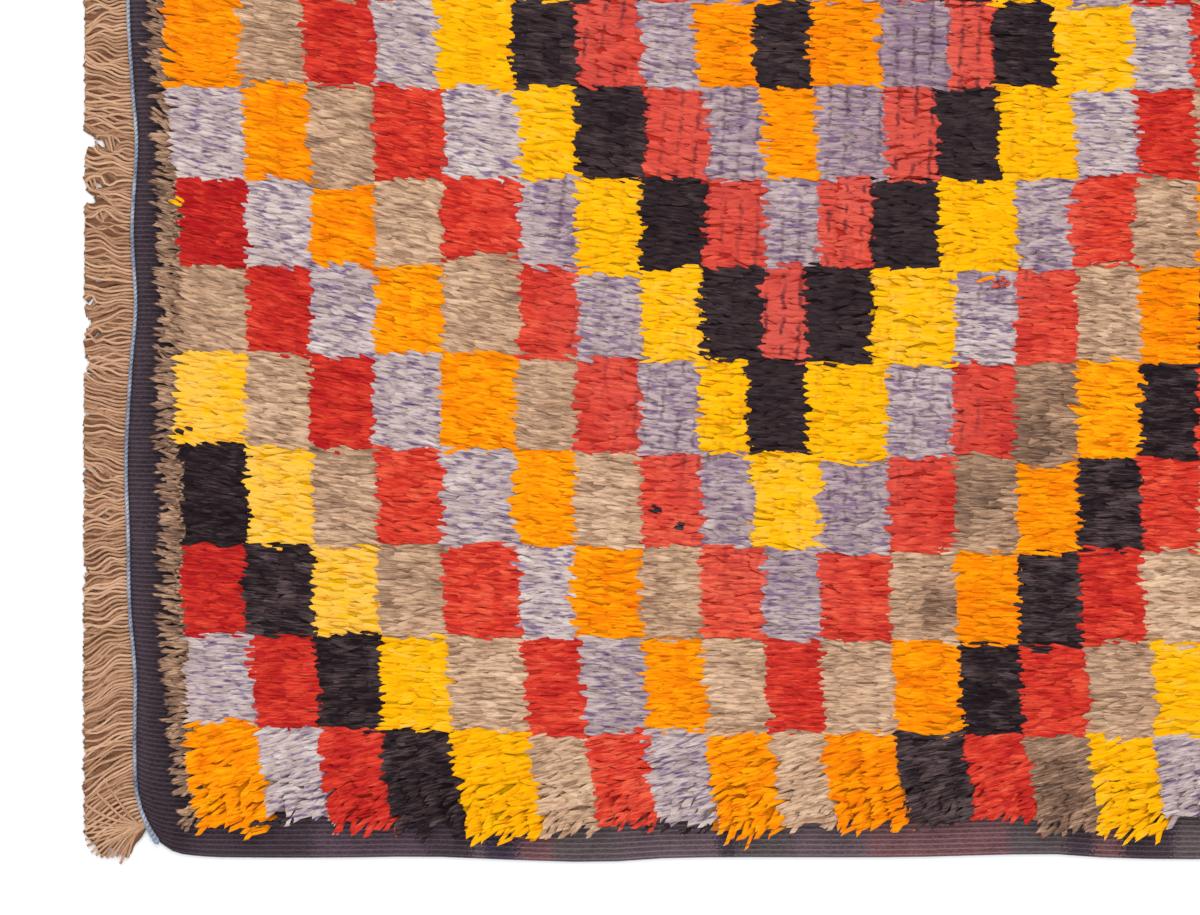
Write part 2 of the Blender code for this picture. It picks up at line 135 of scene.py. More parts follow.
# Small holes between its strands, as (along, up, half length, half height)
FRINGE_HOLES = (
    (0.0184, 0.5712, 0.0052, 0.0026), (0.0096, 0.5396, 0.0042, 0.0013), (0.0192, 0.5440, 0.0028, 0.0016),
    (0.0144, 0.5132, 0.0028, 0.0012), (0.0052, 0.4448, 0.0024, 0.0016), (0.0096, 0.4184, 0.0020, 0.0011),
)
HOLE_REACH, HOLE_LENGTH_SHARE = 0.0075, 1.8
# How far its ends stand back at the corners, as (up, inset)
FRINGE_CORNER_INSET = (
    (0.0288, 0.0280), (0.0312, 0.0150), (0.0345, 0.0055), (0.0390, 0.0000), (0.6500, 0.0000),
)
# Tips of warps that spread from the corner over the others, as (along, up, lift)
CORNER_CROSSINGS = (
    (0.0152, 0.0648, 0.0024), (0.0004, 0.0420, 0.0022), (0.0070, 0.0545, 0.0026), (0.0006, 0.0310, 0.0018),
    (0.0004, 0.0250, 0.0008), (0.0006, 0.0190, 0.0006), (0.0004, 0.0140, 0.0008), (0.0020, 0.0090, 0.0005),
    (0.0050, 0.0040, 0.0008), (0.0090, 0.0022, 0.0005), (0.0130, 0.0012, 0.0008), (0.0175, 0.0010, 0.0005),
    (0.0215, 0.0010, 0.0008), (0.0255, 0.0014, 0.0006), (0.0290, 0.0024, 0.0008), (0.0325, 0.0060, 0.0005),
)
CROSSING_SWING, CROSSING_PHASES = 0.0008, 200.0

# How the warps of the fringe are uneven: how much, the size of its lumps, and the step to their seed
WARP_UNEVEN = {
    "bunch": (0.0052, 0.0120, 0),
    "fine bunch": (0.0026, 0.0050, 1),
    "phase": (2 * math.pi, 0.015, 2),
    "swing": (0.6, 0.020, 3),
    "lift": (1.0, 0.006, 4),
    "bow": (0.0024, 0.0080, 5),
}
UNDER_BUNCHING = 0.4
TIP_SPREAD, WARP_LENGTH_SPREAD, WARP_PHASE_SPREAD = 0.0015, 0.0006, 0.35
SWING, SWING_WAVES, SWING_START = 0.0019, 1.2, 2.5
LIFT_SPREAD, LIFT_LUMPS, LIFT_END = 0.0005, 0.0008, 1.05
DRIFT_POWER = 1.6

# Warps of the fringe, and the two plies each is twisted from
WARPS_PER_STATION = 5
WARP_TIP_SHARE = 0.90
WARP_WIDTH_SPREAD = 0.08
PLY_TWISTS = 4.5
PLY_DEPTH = 0.16
LOWEST_POINT = 0.00005
# Upper and lower layer of warps, as (rings, sides, half width, flatness, lift)
WARP_FORM = (13, 6, 0.00114, 0.92, 0.0012)
UNDER_FORM = (9, 4, 0.00340, 0.30, 0.0)

# Woven ground: its ribs, how fast the waves of its sides fade inwards, and its columns of points
RIB_PITCH, STEPS_PER_RIB = 0.00366, 4
RIB_CREST, RIB_VALLEY = 0.0034, 0.0024
RIM_HEIGHT, RIM_RIB = 0.0011, 0.0006
SIDE_STATIONS, SIDE_FADE_POWER = 200, 12
SIDE_RIBS, PLAIN_RIBS = 12, 4
BAND_COLUMNS = (0.0, 0.006, 0.012, 0.020, 0.030, 0.042, 0.056)
MIDDLE_COLUMNS = 26

# Wefts change colour along the rug, as (start, shade); it shows on both side edges
GROUND_SHADES = {
    "dark": (65, 53, 59), "dusk": (94, 78, 83), "grey": (86, 75, 76), "plum": (108, 76, 78),
    "navy": (62, 53, 64), "heather": (80, 64, 72),
}
GROUND_SECTIONS = (
    (0.000, "dark"), (0.178, "heather"), (0.272, "dark"), (0.309, "dusk"), (0.318, "navy"), (0.346, "plum"),
    (0.370, "grey"), (0.426, "dusk"), (0.504, "dark"), (0.518, "grey"), (0.564, "dusk"), (0.625, "plum"),
    (0.735, "grey"), (0.783, "dark"), (0.804, "plum"), (0.830, "dark"), (0.870, "grey"), (0.930, "dusk"),
    (0.985, "plum"), (1.030, "dark"),
)

# Where a painted shadow of the pile darkens the end bands next to it, from the rug's middle
SHADED_BAND = (0.490, 0.505, 0.526, 0.540)

# Twined cord: two strands round each other, thicker at the corners
TWINE_PITCH, TWINE_RADIUS, TWINE_HALF_WIDTH = 0.0075, 0.00068, 0.00114
TWINE_RINGS_PER_TURN, TWINE_SIDES = 6.0, 5
TWINE_CORNER_SHARE, TWINE_CORNER_LENGTH = 1.70, 0.034

# Shades of the cord and the fringe, dark to light, as (place on the ramp, colour)
CORD_SHADES = ((0.35, (92, 96, 114)), (0.60, (142, 150, 168)), (0.85, (196, 200, 210)))
FRINGE_SHADES = ((0.15, (118, 80, 58)), (0.50, (188, 144, 112)), (0.90, (228, 188, 154)))
# How pale the warps of the fringe are, and how much darker its under layer is as painted shade
FRINGE_TONES, UNDER_PAINTED_SHADE = (-0.2, 1.3), 1.4

# Bed of wool between the roots of the pile: its height, and how much lower it is in worn and curled pile
BED_HEIGHT, BED_WORN_DOWN, BED_CURLED_DOWN = 0.0114, 0.0018, 0.0025
BED_ROWS_PER_BLOCK = 10
# How much of the block's darker shade is mixed into the bed as painted shade
BED_PAINTED_SHADE_SHARE = 0.35

# How far it stands back from the roots, beyond the first and last of them, and out at its rim
BED_SETBACK, BED_BANK, BED_FIRST_EDGE, BED_LAST_EDGE = 0.0180, 0.0050, 0.002, 0.020
BED_RIM_REACH, BED_RIM_SHIFT = (0.0030, 0.0030), 0.0055

# How far the pile stands back from the sides in each column of blocks
SIDE_RISES = (
    0.0040, 0.0125, 0.0070, 0.0040, -0.0025, 0.0020, 0.0080, 0.0110, 0.0000, 0.0070,
    0.0070, 0.0100, 0.0110, 0.0050, 0.0010, 0.0120, 0.0060, 0.0040, 0.0060,
)

# Lines of knots along the weft: their pitch, how far their roots stand right of the wool that shows, and
# the locks each has in a block, in a block of the side rows and beside a block in the camel end rows
KNOT_ROW_PITCH = 0.0125
ROOT_SETBACK = 0.0178
LOCKS_PER_BLOCK = 28
SIDE_ROW_LOCKS_PER_BLOCK = 38
END_ROW_LOCKS_PER_BLOCK = 56

# Camel rows at both ends: where they are rooted, and how they differ from the other rows
END_ROW_ROOTS = (0.0785, 0.0905)
FAR_END_ROW_STEPS = (0.0097, 0.0217)
END_ROW_LENGTH_SHARE, END_ROW_LENGTHS = 0.84, (0.60, 1.15)
END_ROW_RISE_SHARE, END_ROW_WIDTH_SHARE = 0.70, 0.60
END_ROW_STRAYING = 0.16
END_ROW_GAPS_OVER = 0.72

# A lock: three-sided, with rings at shares of its length, each with its share of the rise and the width
LOCK_LENGTH, LOCK_HALF_WIDTH, LOCK_RISE = 0.0270, 0.0028, 0.0088
LOCK_SHARES = (0.0, 0.38, 0.82, 1.0)
LOCK_CLIMB = (0.30, 0.88, 0.93, 0.87)
LOCK_WIDTHS = (0.50, 1.0, 0.86, 0.0)
LOCK_ANGLES = (90.0, 210.0, 330.0)
LOCK_FLATNESS, LOCK_ROUNDNESS = 0.15, 0.50
ROOT_CLEARANCE = 0.0012

# How a lock bends, and how far down the rug it is rooted, as shares of its length
TURN_AT_ROOT, TURN_TOWARDS_TIP = 0.55, 0.75
LOCK_WAVES, LOCK_SWING, CURLED_SWING = 0.9, 0.26, 0.14
ROOTS_DOWN, ROOTS_DOWN_BY_TURN = 0.05, 0.5

# Random spread of the locks' roots, lay, sizes and tones
ROOT_SPREAD, WORN_ROOT_SPREAD, ROOT_SPREAD_UP = 0.0015, 0.0006, 0.0005
LAY_SPREAD, CURLED_LAY_SPREAD = 0.035, 0.06
LOCK_LENGTH_SPREAD, PHASE_SPREAD, RISE_SPREAD, WIDTH_SPREAD, TONE_SPREAD = 0.045, 0.45, 0.014, 0.14, 0.10

# How much shorter, lower or narrower locks are where the pile is worn or curls over
WORN_SHORTER, WORN_LOWER = 0.10, 0.14
CURLED_SHORTER, CURLED_NARROWER = 0.20, 0.12

# Locks are thinner beside the borders between rows
BORDER_REACH, BORDER_THINNING = 0.0045, 0.45

# Neighbouring locks gather into clumps, which rise a little in the middle; a clump changes its tone at
# each cell along it, by a number reckoned from the clump, the cell and the block
CLUMP_PITCH = 0.0062
CLUMP_GATHERING = 0.45
CLUMP_CROWN = 0.0007
CLUMP_CELL_LENGTH, CELL_SHIFT = 0.0130, 7.7
CLUMP_TONES, TONE_STEPS = 4096, (131, 17, 53)
CLUMP_TONE_SHARE = 0.30
TONE_RANGE = (-0.9, 1.6)

# Unevenness of the pile: how much, the size of its lumps, and their seed
UNEVEN = {
    "wefts": (0.0016, 0.024, 11),
    "turn": (0.15, (0.016, 0.0075), 21),
    "wide turn": (0.10, 0.045, 22),
    "curled turn": (0.40, 0.0095, 23),
    "warp": (0.9, (0.034, 0.014), 24),
    "fine warp": (0.45, (0.012, 0.006), 25),
    "length": (0.07, (0.0125, 0.0062), 31),
    "phase": (7.0, (0.022, 0.012), 32),
    "end row gaps": (1.0, (0.010, 0.0085), 33),
    "rise": (0.04, (0.018, 0.0068), 41),
    "tone": (0.25, (0.018, 0.010), 51),
    "bed": (0.0008, 0.009, 61),
    "bed rim": (0.35, 0.011, 62),
    "wear": (0.5, 0.060, 71),
}

# How far the lay turns up from straight left, as (up, degrees); upward turns fade to the right
LAY_TURN = (
    (0.0270, -42.0), (0.0400, -32.0), (0.0560, -20.0), (0.0800, -8.0), (0.1400, 1.0),
    (0.3000, 8.0), (0.4600, 13.0), (0.6500, 11.0), (0.9000, 5.0), (1.1600, 2.0),
    (1.2210, 8.0), (1.2450, 20.0), (1.2610, 32.0), (1.2740, 42.0),
)
TURN_FADES_BY, TURN_FADES_OVER, LEAST_TURN_SHARE = 0.10, 0.40, 0.25

# Near the sides the pile curls over the edge: from how far off, and over what width it sets in
CURLS_WITHIN, CURLS_RISE_OVER = 0.095, 0.045

# Worn middle of the rug, worn spots as (along, up, radius), and the painted shade in the gaps between
# the knots in worn pile
WORN_HALF_SIZE = (0.26, 0.50)
WEAR_STEEPNESS, USUAL_WEAR = 1.6, 0.75
WORN_SPOTS = ((0.694, 0.350, 0.036), (0.545, 0.585, 0.040))
WORN_KNOT_PITCH = 0.0135
KNOT_GAP_SHADE = (66, 34, 42)

# Dye lots: how much paler than usual the wool of some blocks is, as blocks' (column, row)
LOT_SPREAD = 0.22
PALE_YELLOW_COLUMNS = 3
DEEP_RED_COLUMNS = 3
SET_LOTS = {
    (1, 3): -0.7, (1, 4): -0.35, (1, 5): 0.9, (1, 6): -0.5, (1, 7): -0.9, (2, 5): 0.1, (2, 6): -0.5,
    (3, 9): -0.2, (4, 4): 0.3, (4, 7): 0.0, (5, 2): 0.25, (5, 9): -0.25, (6, 2): 0.05, (7, 1): 0.5,
    (7, 2): -0.5, (8, 4): 0.35, (8, 5): 0.4, (9, 7): -0.15, (9, 8): 0.0, (10, 6): -0.5, (11, 8): -0.2,
    (12, 5): 0.4, (12, 8): -0.3, (13, 4): -0.7, (13, 6): 0.5, (14, 1): -0.9, (14, 5): -0.85,
    (14, 9): -0.3, (15, 7): 0.3, (16, 3): 0.3,
}
PALE_LOT, DEEP_RED_LOT, END_ROW_LOT = 1.35, -0.4, -0.90

# Darker and paler smudges in the pile, as (along, up, radius, how much darker)
SMUDGES = (
    (0.684, 0.204, 0.016, 1.6), (0.708, 0.292, 0.022, 1.0), (0.752, 0.340, 0.018, 1.2),
    (0.778, 0.056, 0.020, 0.8), (0.292, 0.450, 0.016, -0.8), (0.128, 0.428, 0.018, -0.5),
)
SMUDGE_SETBACK = 0.6

# Odd tufts that lie over a block of another colour, as (along, up, colour)
STRAY_TUFTS = (
    (0.732, 0.464, "red"), (0.734, 0.461, "red"), (0.722, 0.466, "orange"), (0.081, 0.337, "black"),
    (0.122, 0.0310, "black"), (0.131, 0.0318, "black"), (0.140, 0.0312, "black"), (0.149, 0.0318, "black"),
    (0.076, 0.526, "yellow"), (0.456, 0.278, "black"), (0.475, 0.264, "black"),
    (0.436, 0.029, "black"), (0.452, 0.028, "black"), (0.466, 0.027, "black"), (0.484, 0.029, "black"),
)
LOCKS_PER_STRAY_TUFT = 3
STRAY_STEP = (0.0020, 0.0009)
STRAY_LENGTH_SHARE, STRAY_WIDTH_SHARE, STRAY_LIFT = 0.45, 0.60, 0.0010

# Scales of the markings in the wool: along the lay, across it, and from block to block. The last three
# place painted shade, in the partings between clumps and in the gaps between worn knots
STRAND_SCALES = (75.0, 800.0, 1.0)
STREAK_SCALES = (78.0, 330.0, 1.0)
PARTING_SHADE_SCALES = (70.0, 130.0, 1.0)
GAP_SCALES = (46.0, 90.0, 1.0)
GAP_WANDER_SCALES = (90.0, 160.0, 1.0)

# Scales of the fibres across and along locks and warps, and in the ground's X, Y and Z
LOCK_FIBRE_SCALES = (1050.0, 65.0)
WARP_FIBRE_SCALES = (1.4, 9.0)
GROUND_FIBRE_SCALES = (420.0, 1300.0, 900.0)

# How far apart locks or warps may lie in the fibres' noise, and blocks in the markings' noise
FIBRE_OFFSET, BLOCK_OFFSET = 900.0, 3.7

# Painted light and shade on a lock: how lit its top and its two lower edges are against the painted shade
# at its root, and how much, and from where along them, the end rows' locks fade
LOCK_PAINTED_LIGHT = (1.0, 0.55, 0.55)
END_FADE, END_FADE_FROM = 0.35, 0.7

# Finish of all wools
WOOL_SPECULAR, SHEEN_ROUGHNESS = 0.06, 0.45

# Camera
SENSOR_WIDTH = 36.0
LENS = 150.0
VIEW_WIDTH = 0.960
VIEW_CENTRE = (-0.172, -0.3301)

# Floor and light
FLOOR_HALF_SIZE = 6.0
FLOOR_SHADE = (0.93, 0.93, 0.93, 1.0)
KEY_SIZE, KEY_ENERGY, KEY_TILT = 2.6, 46.0, -46.0
KEY_PLACE = (-0.3, 2.6, 2.9)
SKY_SHADE, SKY_STRENGTH = (0.95, 0.97, 1.0, 1.0), 1.12

SEED = 417


def place(along, up):
    """World X and Y of points measured from the rug's corner."""
    return np.stack([along - RUG_LENGTH / 2, up - RUG_WIDTH / 2], axis=-1)


def smooth_value(rows, at):
    """Values at places on the smooth line through rows of (place, value)."""
    places, values = np.array(rows, float).T
    at = np.clip(at, places[0], places[-1])
    index = np.clip(np.searchsorted(places, at, side="right") - 1, 0, len(places) - 2)
    before = np.maximum(index - 1, 0)
    after = np.minimum(index + 2, len(places) - 1)
    span = places[index + 1] - places[index]
    t = (at - places[index]) / span
    slope_in = (values[index + 1] - values[before]) / (places[index + 1] - places[before]) * span
    slope_out = (values[after] - values[index]) / (places[after] - places[index]) * span
    return (
        (2 * t**3 - 3 * t**2 + 1) * values[index]
        + (t**3 - 2 * t**2 + t) * slope_in
        + (3 * t**2 - 2 * t**3) * values[index + 1]
        + (t**3 - t**2) * slope_out
    )


def smooth_path(points, count):
    """The ends of a number of even steps on a smooth line through the given points."""
    points = np.array(points)
    steps = np.linalg.norm(np.diff(points, axis=0), axis=1)
    travelled = np.concatenate([[0.0], np.cumsum(steps)])
    stations = np.linspace(0.0, travelled[-1], count + 1)
    xs = smooth_value(np.stack([travelled, points[:, 0]], axis=1), stations)
    ys = smooth_value(np.stack([travelled, points[:, 1]], axis=1), stations)
    return np.stack([xs, ys], axis=1)


def offset_path(points, distance):
    """The path moved to its left by a distance."""
    ahead = np.concatenate([points[1:], points[-1:]])
    behind = np.concatenate([points[:1], points[:-1]])
    along = ahead - behind
    along /= np.linalg.norm(along, axis=1)[:, None]
    return points + np.stack([-along[:, 1], along[:, 0]], axis=1) * distance


def end_path():
    """The middle of the left end cord, from the top corner down to the bottom one."""
    bottom = [place(inset, up) for up, inset in CORNER_TURN + END_LINE]
    top = [place(inset, RUG_WIDTH - up) for up, inset in CORNER_TURN]
    return smooth_path(top + bottom[::-1], END_STATIONS)


def lumps(x, y, size, seed):
    """Smooth noise from -1 to 1 over the rug, with lumps of a size, or of one size each way."""
    width, height = size if isinstance(size, tuple) else (size, size)
    cells = 512
    lattice = np.random.default_rng(seed).uniform(-1.0, 1.0, (cells, cells))
    column, row = np.floor(x / width), np.floor(y / height)
    across, up = x / width - column, y / height - row
    across, up = across**2 * (3 - 2 * across), up**2 * (3 - 2 * up)
    column, row = column.astype(int) % cells, row.astype(int) % cells
    next_column, next_row = (column + 1) % cells, (row + 1) % cells
    low = lattice[column, row] * (1 - across) + lattice[next_column, row] * across
    high = lattice[column, next_row] * (1 - across) + lattice[next_column, next_row] * across
    return low * (1 - up) + high * up


def uneven(name, x, y):
    """How much something about the pile is uneven at places on the rug."""
    amount, size, seed = UNEVEN[name]
    return amount * lumps(x, y, size, seed)


def spot_nearness(x, y, along, up, radius):
    """1 at a spot on the rug, falling softly to 0 round it."""
    spot = place(along, up)
    return np.exp(-((x - spot[0]) ** 2 + (y - spot[1]) ** 2) / radius**2)


def pulled(values, along, up, pulls):
    """Values at places on the rug, changed round the places of rows of (along, up, pull)."""
    for pull_along, pull_up, pull in pulls:
        away = ((along - pull_along) / PULL_REACH[0]) ** 2 + ((up - pull_up) / PULL_REACH[1]) ** 2
        values = values + pull * np.exp(-away)
    return values


def tube_faces(rings, sides, pointed):
    """Faces of a closed tube, its points listed ring by ring, with a point or a flat cap at the far end."""
    faces = [tuple(range(sides))]
    for ring in range(rings - 1):
        for side in range(sides):
            turn = (side + 1) % sides
            low, high = ring * sides, (ring + 1) * sides
            faces.append((low + side, high + side, high + turn, low + turn))
    last = (rings - 1) * sides
    if pointed:
        faces += [(last + side, last + sides, last + (side + 1) % sides) for side in range(sides)]
    else:
        faces.append(tuple(range(last, last + sides))[::-1])
    return faces


def repeated_mesh(name, points, faces, attributes=(), flat_faces=(), normals=None):
    """One mesh of many copies of a set of faces, smooth but for some; points are (copies, points, 3)."""
    copies, each = points.shape[:2]
    totals = np.array([len(face) for face in faces])
    corners = np.concatenate([np.array(face) for face in faces])
    corners = (np.arange(copies)[:, None] * each + corners[None, :]).ravel()
    totals = np.tile(totals, copies)
    mesh = bpy.data.meshes.new(name)
    mesh.vertices.add(copies * each)
    mesh.vertices.foreach_set("co", points.astype(np.float32).ravel())
    mesh.loops.add(len(corners))
    mesh.loops.foreach_set("vertex_index", corners.astype(np.int32))
    mesh.polygons.add(len(totals))
    mesh.polygons.foreach_set("loop_start", (np.cumsum(totals) - totals).astype(np.int32))
    mesh.update(calc_edges=True)
    mesh.shade_smooth()
    if flat_faces:
        flat = np.zeros(len(faces), bool)
        flat[list(flat_faces)] = True
        layer = mesh.attributes.new("sharp_face", "BOOLEAN", "FACE")
        layer.data.foreach_set("value", np.tile(flat, copies))
    if normals is not None:
        mesh.normals_split_custom_set_from_vertices(normals.reshape(-1, 3).tolist())
    for label, values in dict(attributes).items():
        vector = values.ndim == 3
        kind, key = ("FLOAT_VECTOR", "vector") if vector else ("FLOAT", "value")
        layer = mesh.attributes.new(label, kind, "POINT")
        layer.data.foreach_set(key, values.astype(np.float32).ravel())
    return mesh


def plain_mesh(name, points, faces, label, kind, domain, values):
    """One smooth mesh with one attribute, a number or a colour for each point or face."""
    mesh = bpy.data.meshes.new(name)
    mesh.from_pydata(points, [], faces)
    mesh.shade_smooth()
    layer = mesh.attributes.new(label, kind, domain)
    key = "color" if kind == "FLOAT_COLOR" else "value"
    layer.data.foreach_set(key, np.array(values, np.float32).ravel())
    return mesh


def add_piece(name, mesh, material, node_name):
    """Shows a mesh as a piece of the rug, in a given material, in place of a CAD node that it hides."""
    mesh.materials.append(material)
    piece = bpy.data.objects.new(name, mesh)
    bpy.context.scene.collection.objects.link(piece)
    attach(piece, "root")
    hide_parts(node_name)
    return piece


def display(red, green, blue):
    """A colour given as it shows on a display, 0 to 255, as the renderer's linear values."""
    parts = np.array([red, green, blue]) / 255.0
    linear = np.where(parts <= 0.04045, parts / 12.92, ((parts + 0.055) / 1.055) ** 2.4)
    return (*linear.tolist(), 1.0)


def node(tree, kind, settings=(), **inputs):
    """Adds a shader node, with its settings, and each input set to a value or linked from a socket."""
    made = tree.nodes.new(kind)
    for key, value in dict(settings).items():
        setattr(made, key, value)
    for key, value in inputs.items():
        socket = made.inputs[int(key[1:])] if key[0] == "_" else made.inputs[key]
        if isinstance(value, bpy.types.NodeSocket):
            tree.links.new(value, socket)
        else:
            socket.default_value = value
    return made


# The functions from here to separate_x add shader nodes, and return their output
def calculate(tree, operation, first, second=0.0, third=0.0):
    made = node(tree, "ShaderNodeMath", {"operation": operation}, _0=first, _1=second, _2=third)
    return made.outputs[0]


def remap(tree, value, low, high, to_low, to_high):
    made = node(tree, "ShaderNodeMapRange", (), _0=value, _1=low, _2=high, _3=to_low, _4=to_high)
    return made.outputs[0]


def ramp(tree, value, stops, steps="LINEAR"):
    """A colour ramp with (place, colour) stops."""
    made = node(tree, "ShaderNodeValToRGB", (), _0=value)
    made.color_ramp.interpolation = steps
    elements = made.color_ramp.elements
    while len(elements) < len(stops):
        elements.new(0.5)
    for element, (place_on_ramp, colour) in zip(elements, stops):
        element.position = place_on_ramp
        element.color = display(*colour)
    return made.outputs[0]


def mix(tree, blend, share, first, second):
    """Mixes two colours."""
    settings = {"data_type": "RGBA", "blend_type": blend}
    made = node(tree, "ShaderNodeMix", settings, _0=share, _6=first, _7=second)
    return made.outputs[2]


def attribute(tree, name, output):
    return node(tree, "ShaderNodeAttribute", {"attribute_name": name}).outputs[output]


def noise(tree, at, scale, detail=2.0, roughness=0.5):
    made = node(tree, "ShaderNodeTexNoise", (), Vector=at, Scale=scale, Detail=detail, Roughness=roughness)
    return made.outputs[0]


def stretched_noise(tree, at, scales, detail=2.0):
    """Noise with its own scale along each axis, from two nodes."""
    moved = node(tree, "ShaderNodeVectorMath", {"operation": "MULTIPLY"}, _0=at, _1=scales).outputs[0]
    return noise(tree, moved, 1.0, detail)


def object_place(tree):
    return node(tree, "ShaderNodeTexCoord").outputs["Object"]


def separate_x(tree, vector):
    return node(tree, "ShaderNodeSeparateXYZ", (), _0=vector).outputs[0]


def wool_material(name, wool, *look, roughness, sheen, sheen_tint, relief=0.0004):
    """A wool material; wool(tree, *look) gives its colour and its fine fibres, which stand up in relief."""
    found = bpy.data.materials.get(name)
    if found:
        return found
    material = bpy.data.materials.new(name)
    material.use_nodes = True
    tree = material.node_tree
    shader = tree.nodes["Principled BSDF"]
    shader.inputs["Roughness"].default_value = roughness
    shader.inputs["Specular IOR Level"].default_value = WOOL_SPECULAR
    shader.inputs["Sheen Weight"].default_value = sheen
    shader.inputs["Sheen Roughness"].default_value = SHEEN_ROUGHNESS
    shader.inputs["Sheen Tint"].default_value = display(*sheen_tint)
    colour, fine = wool(tree, *look)
    bump = node(tree, "ShaderNodeBump", (), Strength=1.0, Distance=relief, Height=fine)
    tree.links.new(colour, shader.inputs["Base Color"])
    tree.links.new(bump.outputs[0], shader.inputs["Normal"])
    return material


def wool_level(tree, fine, strands):
    """How pale the wool is, by lock, fibre, strand and patch."""
    patches = noise(tree, object_place(tree), 60.0, 2.0)
    level = remap(tree, fine, 0.34, 0.66, -0.06, 0.16)
    level = calculate(tree, "MULTIPLY_ADD", attribute(tree, "tone", "Fac"), 0.28, level)
    level = calculate(tree, "ADD", level, remap(tree, strands, 0.34, 0.66, -0.06, 0.24))
    return calculate(tree, "MULTIPLY_ADD", patches, 0.44, level)


def painted_partings(tree, strands):
    """Painted shade in lines along the lay, in the partings between clumps of locks."""
    parting_shade = calculate(tree, "MULTIPLY_ADD", strands, 0.5, attribute(tree, "clump", "Fac"))
    parting_shade = remap(tree, calculate(tree, "FRACT", parting_shade), 0.0, 0.42, 1.0, 0.0)
    return calculate(tree, "POWER", parting_shade, 1.5)


def painted_knot_gaps(tree, flow, wear, parting_shade, gap_share):
    """Painted shade in short lines across the lay, between the lines of knots in worn pile."""
    wander = calculate(tree, "MULTIPLY", stretched_noise(tree, flow, GAP_WANDER_SCALES), 0.6)
    knots = calculate(tree, "MULTIPLY_ADD", separate_x(tree, flow), 1.0 / WORN_KNOT_PITCH, wander)
    gaps = calculate(tree, "SUBTRACT", calculate(tree, "FRACT", knots), 0.5)
    gaps = remap(tree, calculate(tree, "ABSOLUTE", gaps), 0.33, 0.44, 0.0, 1.0)
    gaps = calculate(tree, "MULTIPLY", gaps, remap(tree, parting_shade, 0.0, 0.5, 0.75, 1.0))
    shown = remap(tree, stretched_noise(tree, flow, GAP_SCALES), 0.43, 0.54, 0.0, 1.0)
    shown = calculate(tree, "MULTIPLY", shown, remap(tree, wear, 0.30, 0.75, 0.0, gap_share))
    return calculate(tree, "MULTIPLY", gaps, shown)


def worn_wool(tree, colour, flow, wear, look):
    """The colour with its streaks, and paler where the pile is worn."""
    streaks = calculate(tree, "MULTIPLY_ADD", wear, 0.07, stretched_noise(tree, flow, STREAK_SCALES))
    streaks = remap(tree, streaks, 0.52, 0.65, 0.0, look.streak_share)
    colour = mix(tree, "MIX", streaks, colour, display(*look.streak))
    worn = calculate(tree, "MULTIPLY", wear, look.worn_share)
    return mix(tree, "MIX", worn, colour, display(*look.worn))


def pile_wool(tree, look):
    """Long wool: each lock has its own tone and fibres along it, and painted shade darkens it towards its
    root.
    """
    flow = attribute(tree, "flow", "Vector")
    wear = attribute(tree, "wear", "Fac")
    fine = noise(tree, attribute(tree, "fibre", "Vector"), 1.0, 3.0, 0.6)
    strands = stretched_noise(tree, flow, STRAND_SCALES)
    colour = ramp(tree, wool_level(tree, fine, strands), look.shades)
    colour = worn_wool(tree, colour, flow, wear, look)
    # Painted shade: the wool tinted darker towards the root, at the lower edges and in the partings
    painted_shade = mix(tree, "MULTIPLY", 1.0, colour, display(*look.deep_tint))
    # Painted shade in the partings between clumps, shown only in patches
    parting_shade = painted_partings(tree, strands)
    presence = remap(tree, stretched_noise(tree, flow, PARTING_SHADE_SCALES), 0.42, 0.58, 0.1, 1.0)
    depth = remap(tree, attribute(tree, "depth", "Fac"), 0.05, 0.45, 0.6, 0.0)
    depth = calculate(tree, "MAXIMUM", depth, calculate(tree, "MULTIPLY", parting_shade, presence))
    colour = mix(tree, "MIX", depth, colour, painted_shade)
    gaps = painted_knot_gaps(tree, flow, wear, parting_shade, look.gap_share)
    # Painted shade in the gaps between worn knot lines
    colour = mix(tree, "MIX", gaps, colour, display(*KNOT_GAP_SHADE))
    fade = calculate(tree, "MULTIPLY_ADD", fine, 0.8, attribute(tree, "fade", "Fac"))
    fade = remap(tree, fade, 0.80, 1.20, 0.0, 0.9)
    return mix(tree, "MIX", fade, colour, attribute(tree, "beyond", "Color")), fine


